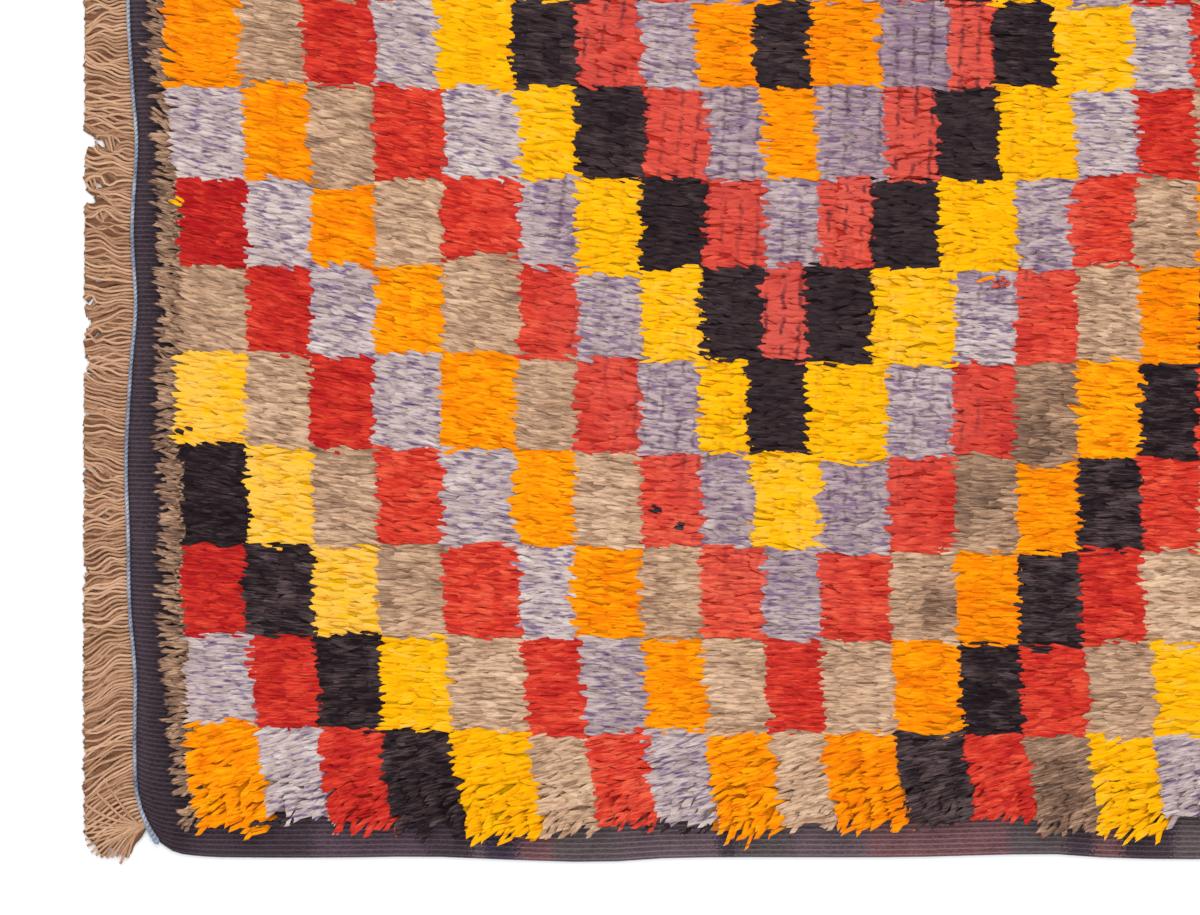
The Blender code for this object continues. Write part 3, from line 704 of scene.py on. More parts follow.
# Shades from dark to light, streak and its share, tint of the painted shade at roots and partings,
# worn shade and its share, and how much the painted shade in the gaps between worn knots shows
PileLook = namedtuple(
    "PileLook", "shades streak streak_share deep_tint worn worn_share gap_share", defaults=(0.0,)
)
PILE_LOOKS = {
    "orange": PileLook(
        ((0.15, (230, 105, 0)), (0.50, (246, 141, 0)), (0.85, (255, 173, 8))),
        (238, 112, 0), 0.35, (188, 124, 90), (250, 156, 2), 0.3,
    ),
    "yellow": PileLook(
        ((0.15, (238, 156, 0)), (0.60, (248, 183, 0)), (1.00, (234, 190, 92))),
        (246, 164, 0), 0.35, (206, 150, 96), (253, 190, 6), 0.3, 0.22,
    ),
    "red": PileLook(
        ((0.15, (162, 20, 25)), (0.50, (210, 55, 39)), (0.85, (234, 98, 68))),
        (166, 22, 34), 0.5, (170, 104, 106), (218, 101, 86), 0.6, 0.85,
    ),
    "lavender": PileLook(
        ((0.15, (146, 125, 127)), (0.50, (190, 169, 164)), (0.85, (221, 206, 197))),
        (104, 80, 122), 0.85, (140, 118, 146), (152, 122, 134), 0.55, 0.62,
    ),
    "camel": PileLook(
        ((0.0, (88, 66, 56)), (0.17, (128, 98, 80)), (0.50, (195, 155, 124)), (0.85, (232, 197, 163))),
        (130, 95, 72), 0.55, (156, 136, 126), (208, 167, 132), 0.4,
    ),
    "black": PileLook(
        ((0.15, (24, 15, 19)), (0.50, (40, 30, 34)), (0.85, (98, 80, 79))),
        (72, 55, 52), 0.45, (140, 130, 138), (52, 40, 43), 0.5,
    ),
}


def block_ring(column, row):
    """Which diamond round the middle block a block lies on."""
    return abs(column - MIDDLE_COLUMN) + abs(row - (len(ROW_WIDTHS) + 1) // 2)


def ring_colour(column, row):
    """Colour of a block."""
    return (RIGHT_DIAMONDS if column > MIDDLE_COLUMN else DIAMONDS)[block_ring(column, row)]


def knot_lines():
    """Root of each line of knots along the warps, with the column of blocks it belongs to, 0 at the ends."""
    lines = [(root, 0) for root in END_ROW_ROOTS]
    start = FIRST_BLOCK_START
    for column, width in enumerate(COLUMN_WIDTHS, 1):
        count = round(width / KNOT_ROW_PITCH)
        for k in range(count):
            lines.append((start + ROOT_SETBACK + width * (k + 0.5) / count, column))
        start += width
    lines += [(start + ROOT_SETBACK + step, 0) for step in FAR_END_ROW_STEPS]
    return lines


def rug_spot(along, up):
    """World X and Y of a place in the pile, where the weft lines are pulled and slope."""
    shift = smooth_value(BLOCK_SHIFT, up)
    shift = pulled(shift, along - LOCK_LENGTH, up, BORDER_PULLS)
    past_first = along - FIRST_BLOCK_START - ROOT_SETBACK
    first = np.where(past_first > 0, np.clip(1.0 - past_first / FIRST_EDGE_REACH, 0.0, 1.0), 0.0)
    spot = place(along + shift + smooth_value(FIRST_EDGE, up) * first, up)
    spot[..., 1] += smooth_value(WEFT_SLOPES, up) * spot[..., 0]
    spot[..., 1] = pulled(spot[..., 1], along - ROW_PULL_SETBACK * LOCK_LENGTH, up, ROW_PULLS)
    spot[..., 1] += uneven("wefts", spot[..., 0], spot[..., 1])
    return spot


def block_wool(column, row, lots):
    """The colour of a block, and how much paler than usual its dye lot is."""
    if column == 0:
        return "camel", END_ROW_LOT
    name = ring_colour(column, row)
    if (column, row) in SET_LOTS:
        return name, SET_LOTS[column, row]
    if name == "yellow" and column <= PALE_YELLOW_COLUMNS:
        return name, PALE_LOT
    if name == "red" and column <= DEEP_RED_COLUMNS:
        return name, lots[column, row] + DEEP_RED_LOT
    return name, lots[column, row]


def early_block(root, column, row):
    """The column and row of the block that a knot belongs to, where the next block may start early."""
    if column >= MIDDLE_COLUMN - 1 and column < len(COLUMN_WIDTHS):
        border = FIRST_BLOCK_START + ROOT_SETBACK + sum(COLUMN_WIDTHS[:column])
        if block_ring(column + 1, row) in EARLY_RINGS and root > border - EARLY_START:
            return column + 1, row
    return column, row


def set_back(column, up):
    """Places up the rug, moved inward in the side rows by as much as the pile of their column stands back."""
    rise = np.concatenate([SIDE_RISES[:1], SIDE_RISES, SIDE_RISES[-1:]])[column]
    low = np.clip(1.0 - (up - SIDE_MARGIN) / ROW_WIDTHS[0], 0.0, 1.0)
    high = np.clip(1.0 - (RUG_WIDTH - SIDE_MARGIN - up) / ROW_WIDTHS[-1], 0.0, 1.0)
    return up + rise * (low - high)


def lock_shares(column, row):
    """How far across its block each lock of a knot line stands, from 0 to 1."""
    count = SIDE_ROW_LOCKS_PER_BLOCK if row in (1, len(ROW_WIDTHS)) else LOCKS_PER_BLOCK
    count = count if column else END_ROW_LOCKS_PER_BLOCK
    return (np.arange(count) + 0.5) / count


def stray_tuft_roots(names):
    """Rows as in lock_roots for the odd tufts, which belong to no column."""
    rows = []
    for along, up, name in STRAY_TUFTS:
        colour = names.index(name)
        for k in range(LOCKS_PER_STRAY_TUFT):
            root = along + LOCK_LENGTH * STRAY_LENGTH_SHARE / 2 + STRAY_STEP[0] * k
            rows.append((root, up + STRAY_STEP[1] * k, colour, 0.0, -1, colour))
    return rows


def lock_roots():
    """All locks: along, up, colour, dye lot, block column, and colour of the wool beyond the tip.

    Colours are indices into PILE_LOOKS, and -1 is the dark ground.
    """
    names = list(PILE_LOOKS)
    draw = np.random.default_rng(SEED + 2)
    lots = draw.normal(0.0, LOT_SPREAD, (len(COLUMN_WIDTHS) + 1, len(ROW_WIDTHS) + 1))
    rows = []
    beyond = {row: -1 for row in range(1, len(ROW_WIDTHS) + 1)}
    for root, column in knot_lines():
        start = SIDE_MARGIN
        for row, width in enumerate(ROW_WIDTHS, 1):
            name, lot = block_wool(*early_block(root, column, row), lots)
            colour = names.index(name)
            for up in set_back(column, start + width * lock_shares(column, row)):
                rows.append((root, up, colour, lot, column, beyond[row]))
            beyond[row] = colour
            start += width
    values = np.array(rows + stray_tuft_roots(names)).T
    locks = SimpleNamespace(**dict(zip(("along", "up", "colour", "lot", "column", "beyond"), values)))
    left_out = (locks.column == 0) & (uneven("end row gaps", locks.along, locks.up) > END_ROW_GAPS_OVER)
    for name, values in vars(locks).items():
        setattr(locks, name, values[~left_out])
    return locks


def side_curl(up):
    """1 near the sides, where the pile curls over, falling to 0 further in."""
    return np.clip((CURLS_WITHIN - np.minimum(up, RUG_WIDTH - up)) / CURLS_RISE_OVER, 0.0, 1.0)


def lay_turn(x, up):
    """How far the lay turns up from straight left, in radians."""
    turn = np.radians(smooth_value(LAY_TURN, up))
    fading = np.clip((TURN_FADES_BY - x) / TURN_FADES_OVER, LEAST_TURN_SHARE, 1.0)
    return np.where(turn > 0, turn * fading, turn)


def block_middles(along, up, column):
    """World X and Y of the middle of each lock's block, the turn of the lay there, and the block's number."""
    edges = SIDE_MARGIN + np.concatenate([[0.0], np.cumsum(ROW_WIDTHS)])
    row = np.clip(np.searchsorted(edges, up) - 1, 0, len(ROW_WIDTHS) - 1)
    starts = FIRST_BLOCK_START + ROOT_SETBACK + np.concatenate([[0.0], np.cumsum(COLUMN_WIDTHS)])
    block = np.maximum(column, 1).astype(int) - 1
    middle_along = np.where(column > 0, (starts[block] + starts[block + 1]) / 2, along)
    middle_up = (edges[row] + edges[row + 1]) / 2
    x, y = place(middle_along, middle_up).T
    return x, y, lay_turn(x, middle_up), row * (len(COLUMN_WIDTHS) + 1) + block


def border_nearness(up):
    """1 on a border between two rows of blocks, falling to 0 within a few millimetres."""
    borders = SIDE_MARGIN + np.concatenate([[0.0], np.cumsum(ROW_WIDTHS)])
    away = np.abs(up[:, None] - borders[None, :]).min(axis=1)
    return np.clip(1.0 - away / BORDER_REACH, 0.0, 1.0)


def middle_wear(x, y):
    """How worn the pile is, from 0 to 1: most round the middle of the rug."""
    away = (x / WORN_HALF_SIZE[0]) ** 2 + (y / WORN_HALF_SIZE[1]) ** 2
    patchy = np.clip(USUAL_WEAR + uneven("wear", x, y), 0.0, 1.0)
    wear = np.clip((1.0 - away) * WEAR_STEEPNESS, 0.0, 1.0) * patchy
    for along, up, radius in WORN_SPOTS:
        wear = np.maximum(wear, spot_nearness(x, y, along, up, radius))
    return wear


def lay_frame(points, middles):
    """How far points lie along the lay of their block, and across it, from the block's middle."""
    x, y, turn = [part.reshape(part.shape + (1,) * (points.ndim - 2)) for part in middles[:3]]
    across = (points[..., 0] - x) * np.sin(turn) + (points[..., 1] - y) * np.cos(turn)
    along = (points[..., 1] - y) * np.sin(turn) - (points[..., 0] - x) * np.cos(turn)
    return along, across


def root_locks(locks, draw):
    """Where each lock is rooted, and which way it lies."""
    x, y, count = locks.x, locks.y, len(locks.x)
    turn = lay_turn(x, locks.up)
    down = LOCK_LENGTH * (ROOTS_DOWN + ROOTS_DOWN_BY_TURN * np.sin(np.maximum(turn, 0.0)))
    x = x + draw.normal(0.0, 1.0, count) * (ROOT_SPREAD + WORN_ROOT_SPREAD * locks.wear)
    y = y + draw.normal(0.0, ROOT_SPREAD_UP, count) - down
    turn = turn + uneven("turn", x, y) + uneven("wide turn", x, y) + locks.curl * uneven("curled turn", x, y)
    straying = LAY_SPREAD + CURLED_LAY_SPREAD * locks.curl + END_ROW_STRAYING * (locks.column == 0)
    locks.turn = turn + draw.normal(0.0, 1.0, count) * straying
    locks.x, locks.y = x, y


def size_locks(locks, draw):
    """How long each lock is."""
    column, count = locks.column, len(locks.x)
    spread = draw.normal(0.0, LOCK_LENGTH_SPREAD, count)
    length = LOCK_LENGTH * (1.0 + uneven("length", locks.x, locks.y) + spread)
    length = length * (1.0 - WORN_SHORTER * locks.wear) * (1.0 - CURLED_SHORTER * locks.curl)
    length = np.where(column < 0, length * STRAY_LENGTH_SHARE, length)
    end_row_length = length * END_ROW_LENGTH_SHARE * draw.uniform(*END_ROW_LENGTHS, count)
    locks.length = np.where(column == 0, end_row_length, length)


def bend_locks(locks, draw):
    """The run of each centre line from its root, wavy and turning further towards the tip."""
    shares = np.array(LOCK_SHARES)
    halfway = (shares[1:] + shares[:-1]) / 2
    phase = uneven("phase", locks.x, locks.y) + draw.normal(0.0, PHASE_SPREAD, len(locks.x))
    swing = LOCK_SWING + CURLED_SWING * locks.curl
    wave = np.sin(2 * math.pi * halfway[None, :] * LOCK_WAVES + phase[:, None]) * swing[:, None]
    heading = locks.turn[:, None] * (TURN_AT_ROOT + TURN_TOWARDS_TIP * halfway[None, :]) + wave
    step = locks.length[:, None] * np.diff(shares)[None, :]
    root = np.zeros((len(locks.x), 1))
    run_x = np.concatenate([root, np.cumsum(-step * np.cos(heading), axis=1)], axis=1)
    run_y = np.concatenate([root, np.cumsum(step * np.sin(heading), axis=1)], axis=1)
    return run_x, run_y


def gather_clumps(locks):
    """The warp of the clumps, how far each lock is off its clump's middle, and its clump's tone."""
    x, y, block = locks.x, locks.y, locks.middles[3]
    lay_along, lay_across = lay_frame(np.stack([x, y], axis=-1), locks.middles)
    locks.warp = uneven("warp", x, y) + uneven("fine warp", x, y)
    clump = lay_across / CLUMP_PITCH + locks.warp
    number = np.floor(clump)
    locks.off_middle = clump - number - 0.5
    cell = np.floor(lay_along / CLUMP_CELL_LENGTH + CELL_SHIFT * number)
    key = number * TONE_STEPS[0] + cell * TONE_STEPS[1] + block * TONE_STEPS[2]
    tones = np.random.default_rng(SEED + 3).uniform(-1.0, 1.0, CLUMP_TONES)
    locks.clump_tone = tones[key.astype(int) % CLUMP_TONES]


def lock_heights(locks, draw):
    """How high each centre line stands, ring by ring."""
    column = locks.column
    spread = draw.normal(0.0, RISE_SPREAD, len(column))
    high = LOCK_RISE * (1.0 + uneven("rise", locks.x, locks.y) + spread)
    high = high * (1.0 - WORN_LOWER * locks.wear) * np.where(column == 0, END_ROW_RISE_SHARE, 1.0)
    high = high + np.where(column < 0, STRAY_LIFT, 0.0)
    high = high + CLUMP_CROWN * (0.5 - 2.0 * np.abs(locks.off_middle))
    return GROUND_THICKNESS + ROOT_CLEARANCE + high[:, None] * np.array(LOCK_CLIMB)[None, :]


def lock_widths(locks, draw):
    """Half the width of each lock, ring by ring."""
    column = locks.column
    width = LOCK_HALF_WIDTH * (1.0 + draw.normal(0.0, WIDTH_SPREAD, len(column)))
    width = width * (1.0 - CURLED_NARROWER * locks.curl)
    width = width * np.where(column == 0, END_ROW_WIDTH_SHARE, 1.0)
    width = width * np.where(column < 0, STRAY_WIDTH_SHARE, 1.0)
    width = width * (1.0 - BORDER_THINNING * border_nearness(locks.up))
    return width[:, None] * np.array(LOCK_WIDTHS)[None, :]


def lock_tones(locks, draw):
    """How pale each lock is, round 0.5."""
    x, y = locks.x, locks.y
    tone = 0.5 + draw.normal(0.0, 1.0, len(x)) * TONE_SPREAD + uneven("tone", x, y) + locks.lot
    tone = tone + CLUMP_TONE_SHARE * locks.clump_tone
    for along, up, radius, darker in SMUDGES:
        tone = tone - darker * spot_nearness(x - SMUDGE_SETBACK * LOCK_LENGTH, y, along, up, radius)
    return np.clip(tone, *TONE_RANGE)


def lay_locks():
    """All locks of the pile, with their centre lines, half widths and tones."""
    locks = lock_roots()
    locks.middles = block_middles(locks.along, locks.up, locks.column)
    locks.x, locks.y = rug_spot(locks.along, locks.up).T
    locks.wear = middle_wear(locks.x, locks.y)
    locks.curl = side_curl(locks.up)
    draw = np.random.default_rng(SEED)
    root_locks(locks, draw)
    size_locks(locks, draw)
    run_x, run_y = bend_locks(locks, draw)
    gather_clumps(locks)
    shares = np.array(LOCK_SHARES)
    gathered = -locks.off_middle * CLUMP_PITCH * CLUMP_GATHERING
    run_x = run_x + (gathered * np.sin(locks.turn))[:, None] * shares
    run_y = run_y + (gathered * np.cos(locks.turn))[:, None] * shares
    heights = lock_heights(locks, draw)
    locks.centres = np.stack([locks.x[:, None] + run_x, locks.y[:, None] + run_y, heights], axis=-1)
    locks.widths = lock_widths(locks, draw)
    locks.tone = lock_tones(locks, draw)
    return locks


def tube_points(centres, half_widths, half_heights, angles):
    """Points round centre lines: rings of the given angles, measured from the side to the top."""
    run = np.gradient(centres[..., :2], axis=1)
    run /= np.linalg.norm(run, axis=-1)[..., None]
    side = np.stack([run[..., 1], -run[..., 0]], axis=-1)
    across = half_widths[..., None] * np.cos(angles)
    upward = half_heights[..., None] * np.sin(angles)
    flat = centres[..., None, :2] + side[..., None, :] * across[..., None]
    high = centres[..., None, 2] + upward
    return np.concatenate([flat, high[..., None]], axis=-1)


def lock_normals(points, centres):
    """Soft normals for the points of locks: mostly upward, and a little outward from the centre line."""
    sides = (points.shape[1] - 1) // (centres.shape[1] - 1)
    middles = np.concatenate([np.repeat(centres[:, :-1], sides, axis=1), centres[:, -1:]], axis=1)
    outward = points - middles
    reach = np.linalg.norm(outward, axis=-1, keepdims=True)
    normals = outward / np.maximum(reach, 1e-6) * LOCK_ROUNDNESS
    normals[..., 2] = 1.0
    return normals / np.linalg.norm(normals, axis=-1, keepdims=True)


def lock_points(locks, angles):
    """Points of all locks: rings round the centre lines, and a tip."""
    points = tube_points(locks.centres, locks.widths, locks.widths * LOCK_FLATNESS, angles)
    body = points[:, :-1].reshape(len(points), -1, 3)
    return np.concatenate([body, locks.centres[:, -1:, :]], axis=1)


def fade_values(locks, travel, shape):
    """Where each lock takes on the colour beyond its tip, and that colour."""
    tip = np.concatenate([np.zeros(shape[1] - 1), [1.0]])
    fade = (locks.colour != locks.beyond)[:, None] * tip[None, :]
    end_row = (locks.column == 0)[:, None] * (travel > END_FADE_FROM)[None, :] * (tip[None, :] == 0)
    fade = fade + END_FADE * end_row
    shades = [display(*look.shades[-2][1])[:3] for look in PILE_LOOKS.values()]
    shades.append(display(*GROUND_SHADES["dark"])[:3])
    beyond = np.array(shades)[locks.beyond.astype(int)]
    return fade, np.broadcast_to(beyond[:, None, :], (*shape, 3))


def lock_values(locks, points, angles):
    """What the wool's material reads at each point of each lock."""
    count, shape = len(points), points.shape[:2]
    offset = np.random.default_rng(SEED + 1).uniform(0.0, FIBRE_OFFSET, (count, 1))
    across = (locks.widths[..., None] * np.cos(angles))[:, :-1].reshape(count, -1)
    across = np.concatenate([across, np.zeros((count, 1))], axis=1) * LOCK_FIBRE_SCALES[0]
    travel = np.concatenate([np.repeat(np.array(LOCK_SHARES)[:-1], len(angles)), [1.0]])
    run = travel[None, :] * locks.length[:, None] * LOCK_FIBRE_SCALES[1]
    # Painted shade: each lock darker towards its root, and its two lower edges darker than its top
    depth = travel * np.concatenate([np.tile(LOCK_PAINTED_LIGHT, len(LOCK_SHARES) - 1), [1.0]])
    lay_along, lay_across = lay_frame(points, locks.middles)
    number = np.broadcast_to(locks.middles[3][:, None] * BLOCK_OFFSET, shape)
    fade, beyond = fade_values(locks, travel, shape)
    return {
        "fibre": np.stack([across, run, np.broadcast_to(offset, shape)], axis=-1),
        "tone": np.broadcast_to(locks.tone[:, None], shape),
        "depth": np.broadcast_to(depth, shape),
        "wear": np.broadcast_to(locks.wear[:, None], shape),
        "flow": np.stack([lay_along, lay_across, number], axis=-1),
        "clump": lay_across / CLUMP_PITCH + locks.warp[:, None],
        "fade": fade,
        "beyond": beyond,
    }


def build_pile():
    """Six pieces of pile, one for each colour of wool."""
    locks = lay_locks()
    angles = np.radians(LOCK_ANGLES)
    points = lock_points(locks, angles)
    values = lock_values(locks, points, angles)
    faces = tube_faces(len(LOCK_SHARES) - 1, len(angles), pointed=True)
    undersides = [0] + list(range(2, len(faces), len(angles)))
    normals = lock_normals(points, locks.centres)
    pieces = []
    for index, (name, look) in enumerate(PILE_LOOKS.items()):
        mine = locks.colour == index
        own = {label: value[mine] for label, value in values.items()}
        mesh = repeated_mesh(f"pile_{name}", points[mine], faces, own, undersides, normals[mine])
        finish = {"roughness": 0.85, "sheen": 0.12, "sheen_tint": look.shades[-1][1]}
        material = wool_material(f"{name}_pile_wool", pile_wool, look, **finish)
        pieces.append(add_piece(f"pile_{name}", mesh, material, "pile_field"))
    return pieces


def grid_faces(columns, rows):
    """Faces of a grid whose points are listed column by column."""
    corners = [(i * rows + j, (i + 1) * rows + j) for i in range(columns - 1) for j in range(rows - 1)]
    return [(first, second, second + 1, first + 1) for first, second in corners]


def bed_grid(lines):
    """World places of the bed's top, for each line along the warps and row up the rug."""
    roots = np.array([root for root, column in lines]) - BED_SETBACK
    first, last = roots[0] + BED_FIRST_EDGE, roots[-1] + BED_LAST_EDGE
    edges = np.concatenate([[first - BED_BANK, first], (roots[1:] + roots[:-1]) / 2, [last]])
    ups = [SIDE_MARGIN]
    for width in ROW_WIDTHS:
        start = ups[-1]
        ups += [start + width * (k + 1) / BED_ROWS_PER_BLOCK for k in range(BED_ROWS_PER_BLOCK)]
    along, up = np.meshgrid(edges, np.array(ups), indexing="ij")
    columns = np.array([0] + [column for root, column in lines] + [len(COLUMN_WIDTHS)])
    up = set_back(columns[:, None], up)
    spot = rug_spot(along, up)
    curl = side_curl(up)
    spot[..., 0] += BED_RIM_SHIFT * curl
    rim_reach = np.array(BED_RIM_REACH) * (1.0 + uneven("bed rim", spot[:, :1, 0], spot[:, :1, 1]))
    spot[:, 0] -= rim_reach
    spot[:, -1] -= rim_reach * (1.0, -1.0)
    height = BED_HEIGHT + uneven("bed", spot[..., 0], spot[..., 1])
    height = height - BED_WORN_DOWN * middle_wear(spot[..., 0], spot[..., 1]) - BED_CURLED_DOWN * curl
    for rim in (height[0], height[-1], height[:, 0], height[:, -1]):
        rim[:] = GROUND_THICKNESS + ROOT_CLEARANCE
    return np.concatenate([spot, height[..., None]], axis=-1)


def closed_grid(grid, low):
    """Points and faces of a grid with a low wall round it and a flat underside."""
    columns, rows = grid.shape[:2]
    points = grid.reshape(-1, 3)
    faces = grid_faces(columns, rows)
    rim = (
        [i * rows for i in range(columns)]
        + [(columns - 1) * rows + j for j in range(1, rows)]
        + [i * rows + rows - 1 for i in range(columns - 2, -1, -1)]
        + [j for j in range(rows - 2, 0, -1)]
    )
    wall = points[rim].copy()
    wall[:, 2] = low
    first, count = len(points), len(rim)
    for k in range(count):
        turn = (k + 1) % count
        faces.append((rim[turn], rim[k], first + k, first + turn))
    faces.append(tuple(range(first + count - 1, first - 1, -1)))
    return np.concatenate([points, wall]), faces


def bed_shaded_dye(lines, rows, count):
    """Colour of each face of the bed: its block's, darkened as painted shade, and dark camel beyond the
    blocks.
    """
    shaded_dye = np.zeros((count, 4))
    shaded_dye[:] = display(*PILE_LOOKS["camel"].shades[1][1])
    for i, (root, column) in enumerate(lines):
        for row in range(1, len(ROW_WIDTHS) + 1):
            shades = PILE_LOOKS[ring_colour(*early_block(root, column, row))].shades
            darker, middle = [np.array(display(*stop[1])) for stop in shades[-3:-1]]
            first = (i + 1) * (rows - 1) + (row - 1) * BED_ROWS_PER_BLOCK
            mixed = BED_PAINTED_SHADE_SHARE * darker + (1.0 - BED_PAINTED_SHADE_SHARE) * middle
            shaded_dye[first : first + BED_ROWS_PER_BLOCK] = mixed
    return shaded_dye


def bed_wool(tree):
    """Wool in its block's colour with painted shade, as it shows deep between the locks."""
    fine = noise(tree, object_place(tree), 900.0, 3.0)
    shade = remap(tree, fine, 0.3, 0.7, 0.75, 1.05)
    grey = node(tree, "ShaderNodeCombineColor", (), _0=shade, _1=shade, _2=shade).outputs[0]
    return mix(tree, "MULTIPLY", 1.0, attribute(tree, "shaded_dye", "Color"), grey), fine


def build_bed():
    """The wool between the roots, which closes the gaps between the locks."""
    lines = [line for line in knot_lines() if line[1]]
    grid = bed_grid(lines)
    points, faces = closed_grid(grid, GROUND_THICKNESS + ROOT_CLEARANCE / 2)
    shaded_dye = bed_shaded_dye(lines, grid.shape[1], len(faces))
    mesh = plain_mesh("pile_bed", points.tolist(), faces, "shaded_dye", "FLOAT_COLOR", "FACE", shaded_dye)
    finish = {"roughness": 0.90, "sheen": 0.15, "sheen_tint": (200, 190, 180), "relief": 0.001}
    material = wool_material("root_wool", bed_wool, **finish)
    return add_piece("pile_bed", mesh, material, "pile_field")


def ground_edges():
    """The ground's left end, from the lower corner to the upper one, and its lower side, left to right."""
    end = offset_path(end_path(), CORD_THICKNESS / 2 + GAP)[::-1]
    left = [place(along, rise) for along, rise in CORNER_FOOT + SIDE_LINE]
    right = [place(RUG_LENGTH - along, rise) for along, rise in CORNER_FOOT][::-1]
    return end, smooth_path([end[0]] + left + right + [-end[-1]], SIDE_STATIONS)


def along_curve(points, axis, at):
    """Points of a curve at places along one axis, in which it only rises."""
    return np.stack([np.interp(at, points[:, axis], points[:, k]) for k in (0, 1)], axis=-1)


def ground_point(column_share, row_share, end, side):
    """A place on the ground between its four edges."""
    u, v = column_share[..., None], row_share[..., None]
    left = along_curve(end, 1, end[0, 1] + (end[-1, 1] - end[0, 1]) * row_share)
    right = -along_curve(end, 1, end[0, 1] + (end[-1, 1] - end[0, 1]) * (1 - row_share))
    low = along_curve(side, 0, side[0, 0] + (side[-1, 0] - side[0, 0]) * column_share)
    high = -along_curve(side, 0, side[0, 0] + (side[-1, 0] - side[0, 0]) * (1 - column_share))
    low = low - (1 - u) * side[0] - u * side[-1]
    high = high + (1 - u) * side[-1] + u * side[0]
    return (1 - u) * left + u * right + (1 - v) ** SIDE_FADE_POWER * low + v**SIDE_FADE_POWER * high


def strip_faces(first, second):
    """Faces between two columns of points, each {row: point}, with corners where both have a row."""
    faces = []
    shared = sorted(set(first) & set(second))
    for low, high in zip(shared, shared[1:]):
        near = [first[row] for row in range(low, high + 1) if row in first]
        far = [second[row] for row in range(low, high + 1) if row in second]
        faces.append(tuple(far + near[::-1]))
    return faces


def ground_rows(last):
    """Rows of points up the rug: all of them, few under the pile and all at the sides, and few."""
    edge = SIDE_RIBS * STEPS_PER_RIB
    plain = PLAIN_RIBS * STEPS_PER_RIB
    every = range(last + 1)
    few_inside = [row for row in every if row <= edge or row >= last - edge or (row - edge) % plain == 0]
    few = sorted({*every[::plain], last})
    return np.array(every), np.array(few_inside), np.array(few)


def rib_heights(crest, rows, last, outermost):
    """Heights of a column of points on the ribs, low along the rim of the ground."""
    rim = (rows == 0) | (rows == last) | outermost
    return np.where(rim, RIM_HEIGHT + RIM_RIB * crest, RIB_VALLEY + (RIB_CREST - RIB_VALLEY) * crest)


def ground_columns(last, edges):
    """Points of the ground, how near a rib's crest each is, and its top and base as {row: point} columns."""
    band = [share / RUG_LENGTH for share in BAND_COLUMNS]
    middle = np.linspace(band[-1], 1 - band[-1], MIDDLE_COLUMNS + 2)[1:-1].tolist()
    shares = band + middle + [1 - share for share in band[::-1]]
    every_row, few_inside, few_rows = ground_rows(last)
    points, ribbed, tops, bases = [], [], [], []
    for k, share in enumerate(shares):
        from_end = min(k, len(shares) - 1 - k)
        for columns, rows in ((tops, every_row if from_end < len(band) else few_inside), (bases, few_rows)):
            flat = ground_point(np.full(len(rows), share), rows / last, *edges)
            crest = 0.5 - 0.5 * np.cos(2 * math.pi * rows / STEPS_PER_RIB)
            height = rib_heights(crest, rows, last, from_end == 0) if columns is tops else 0.0 * crest
            columns.append(dict(zip(rows.tolist(), range(len(points), len(points) + len(rows)))))
            points.extend(np.column_stack([flat, height]).tolist())
            ribbed.extend(crest.tolist())
    return points, ribbed, tops, bases


def build_ground():
    """The ribbed ground: every rib at both ends, and all along both sides; plain under the pile."""
    edges = ground_edges()
    last = round((edges[0][-1, 1] - edges[0][0, 1]) / RIB_PITCH) * STEPS_PER_RIB
    points, ribbed, tops, bases = ground_columns(last, edges)
    faces = []
    for top, base, next_top, next_base in zip(tops, bases, tops[1:], bases[1:]):
        faces += strip_faces(top, next_top)
        faces += strip_faces(next_base, base)
        faces.append((top[0], base[0], next_base[0], next_top[0]))
        faces.append((top[last], next_top[last], next_base[last], base[last]))
    faces += strip_faces(bases[0], tops[0])
    faces += strip_faces(tops[-1], bases[-1])
    mesh = plain_mesh("ribbed_ground", points, faces, "rib", "FLOAT", "POINT", ribbed)
    finish = {"roughness": 0.88, "sheen": 0.15, "sheen_tint": (150, 135, 145)}
    material = wool_material("dark_ribbed_wool", ground_wool, **finish)
    return add_piece("ribbed_ground", mesh, material, "woven_ground")


def ground_wool(tree):
    """Dark ribbed wool, wefts dyed in sections; painted highlight on rib tops, painted shadow near the pile.
    """
    at = object_place(tree)
    fine = stretched_noise(tree, at, GROUND_FIBRE_SCALES, 3.0)
    patches = noise(tree, at, 40.0, 3.0)
    # Painted highlight: the tops of the ribs are painted paler
    crest = calculate(tree, "POWER", attribute(tree, "rib", "Fac"), 4.0)
    level = calculate(tree, "MULTIPLY_ADD", crest, 0.85, calculate(tree, "MULTIPLY_ADD", fine, 1.50, -0.40))
    level = calculate(tree, "MULTIPLY_ADD", patches, 0.50, level)
    scale = remap(tree, level, 0.35, 1.40, 0.55, 2.00)
    wobble = calculate(tree, "MULTIPLY_ADD", noise(tree, at, 620.0, 3.0), 0.040, -0.020)
    along = calculate(tree, "ADD", separate_x(tree, at), wobble)
    from_middle = calculate(tree, "ABSOLUTE", along)
    # Painted shadow of the pile: the end bands darken next to it
    falling = remap(tree, from_middle, *SHADED_BAND[:2], 1.0, 0.70)
    rising = remap(tree, from_middle, *SHADED_BAND[2:], 0.70, 1.0)
    scale = calculate(tree, "MULTIPLY", scale, calculate(tree, "MAXIMUM", falling, rising))
    share = remap(tree, along, -RUG_LENGTH / 2, RUG_LENGTH / 2, 0.0, 1.0)
    stops = [(start / RUG_LENGTH, GROUND_SHADES[shade]) for start, shade in GROUND_SECTIONS]
    sections = ramp(tree, share, stops, "CONSTANT")
    colour = node(tree, "ShaderNodeVectorMath", {"operation": "SCALE"}, Vector=sections, Scale=scale)
    return colour.outputs[0], fine


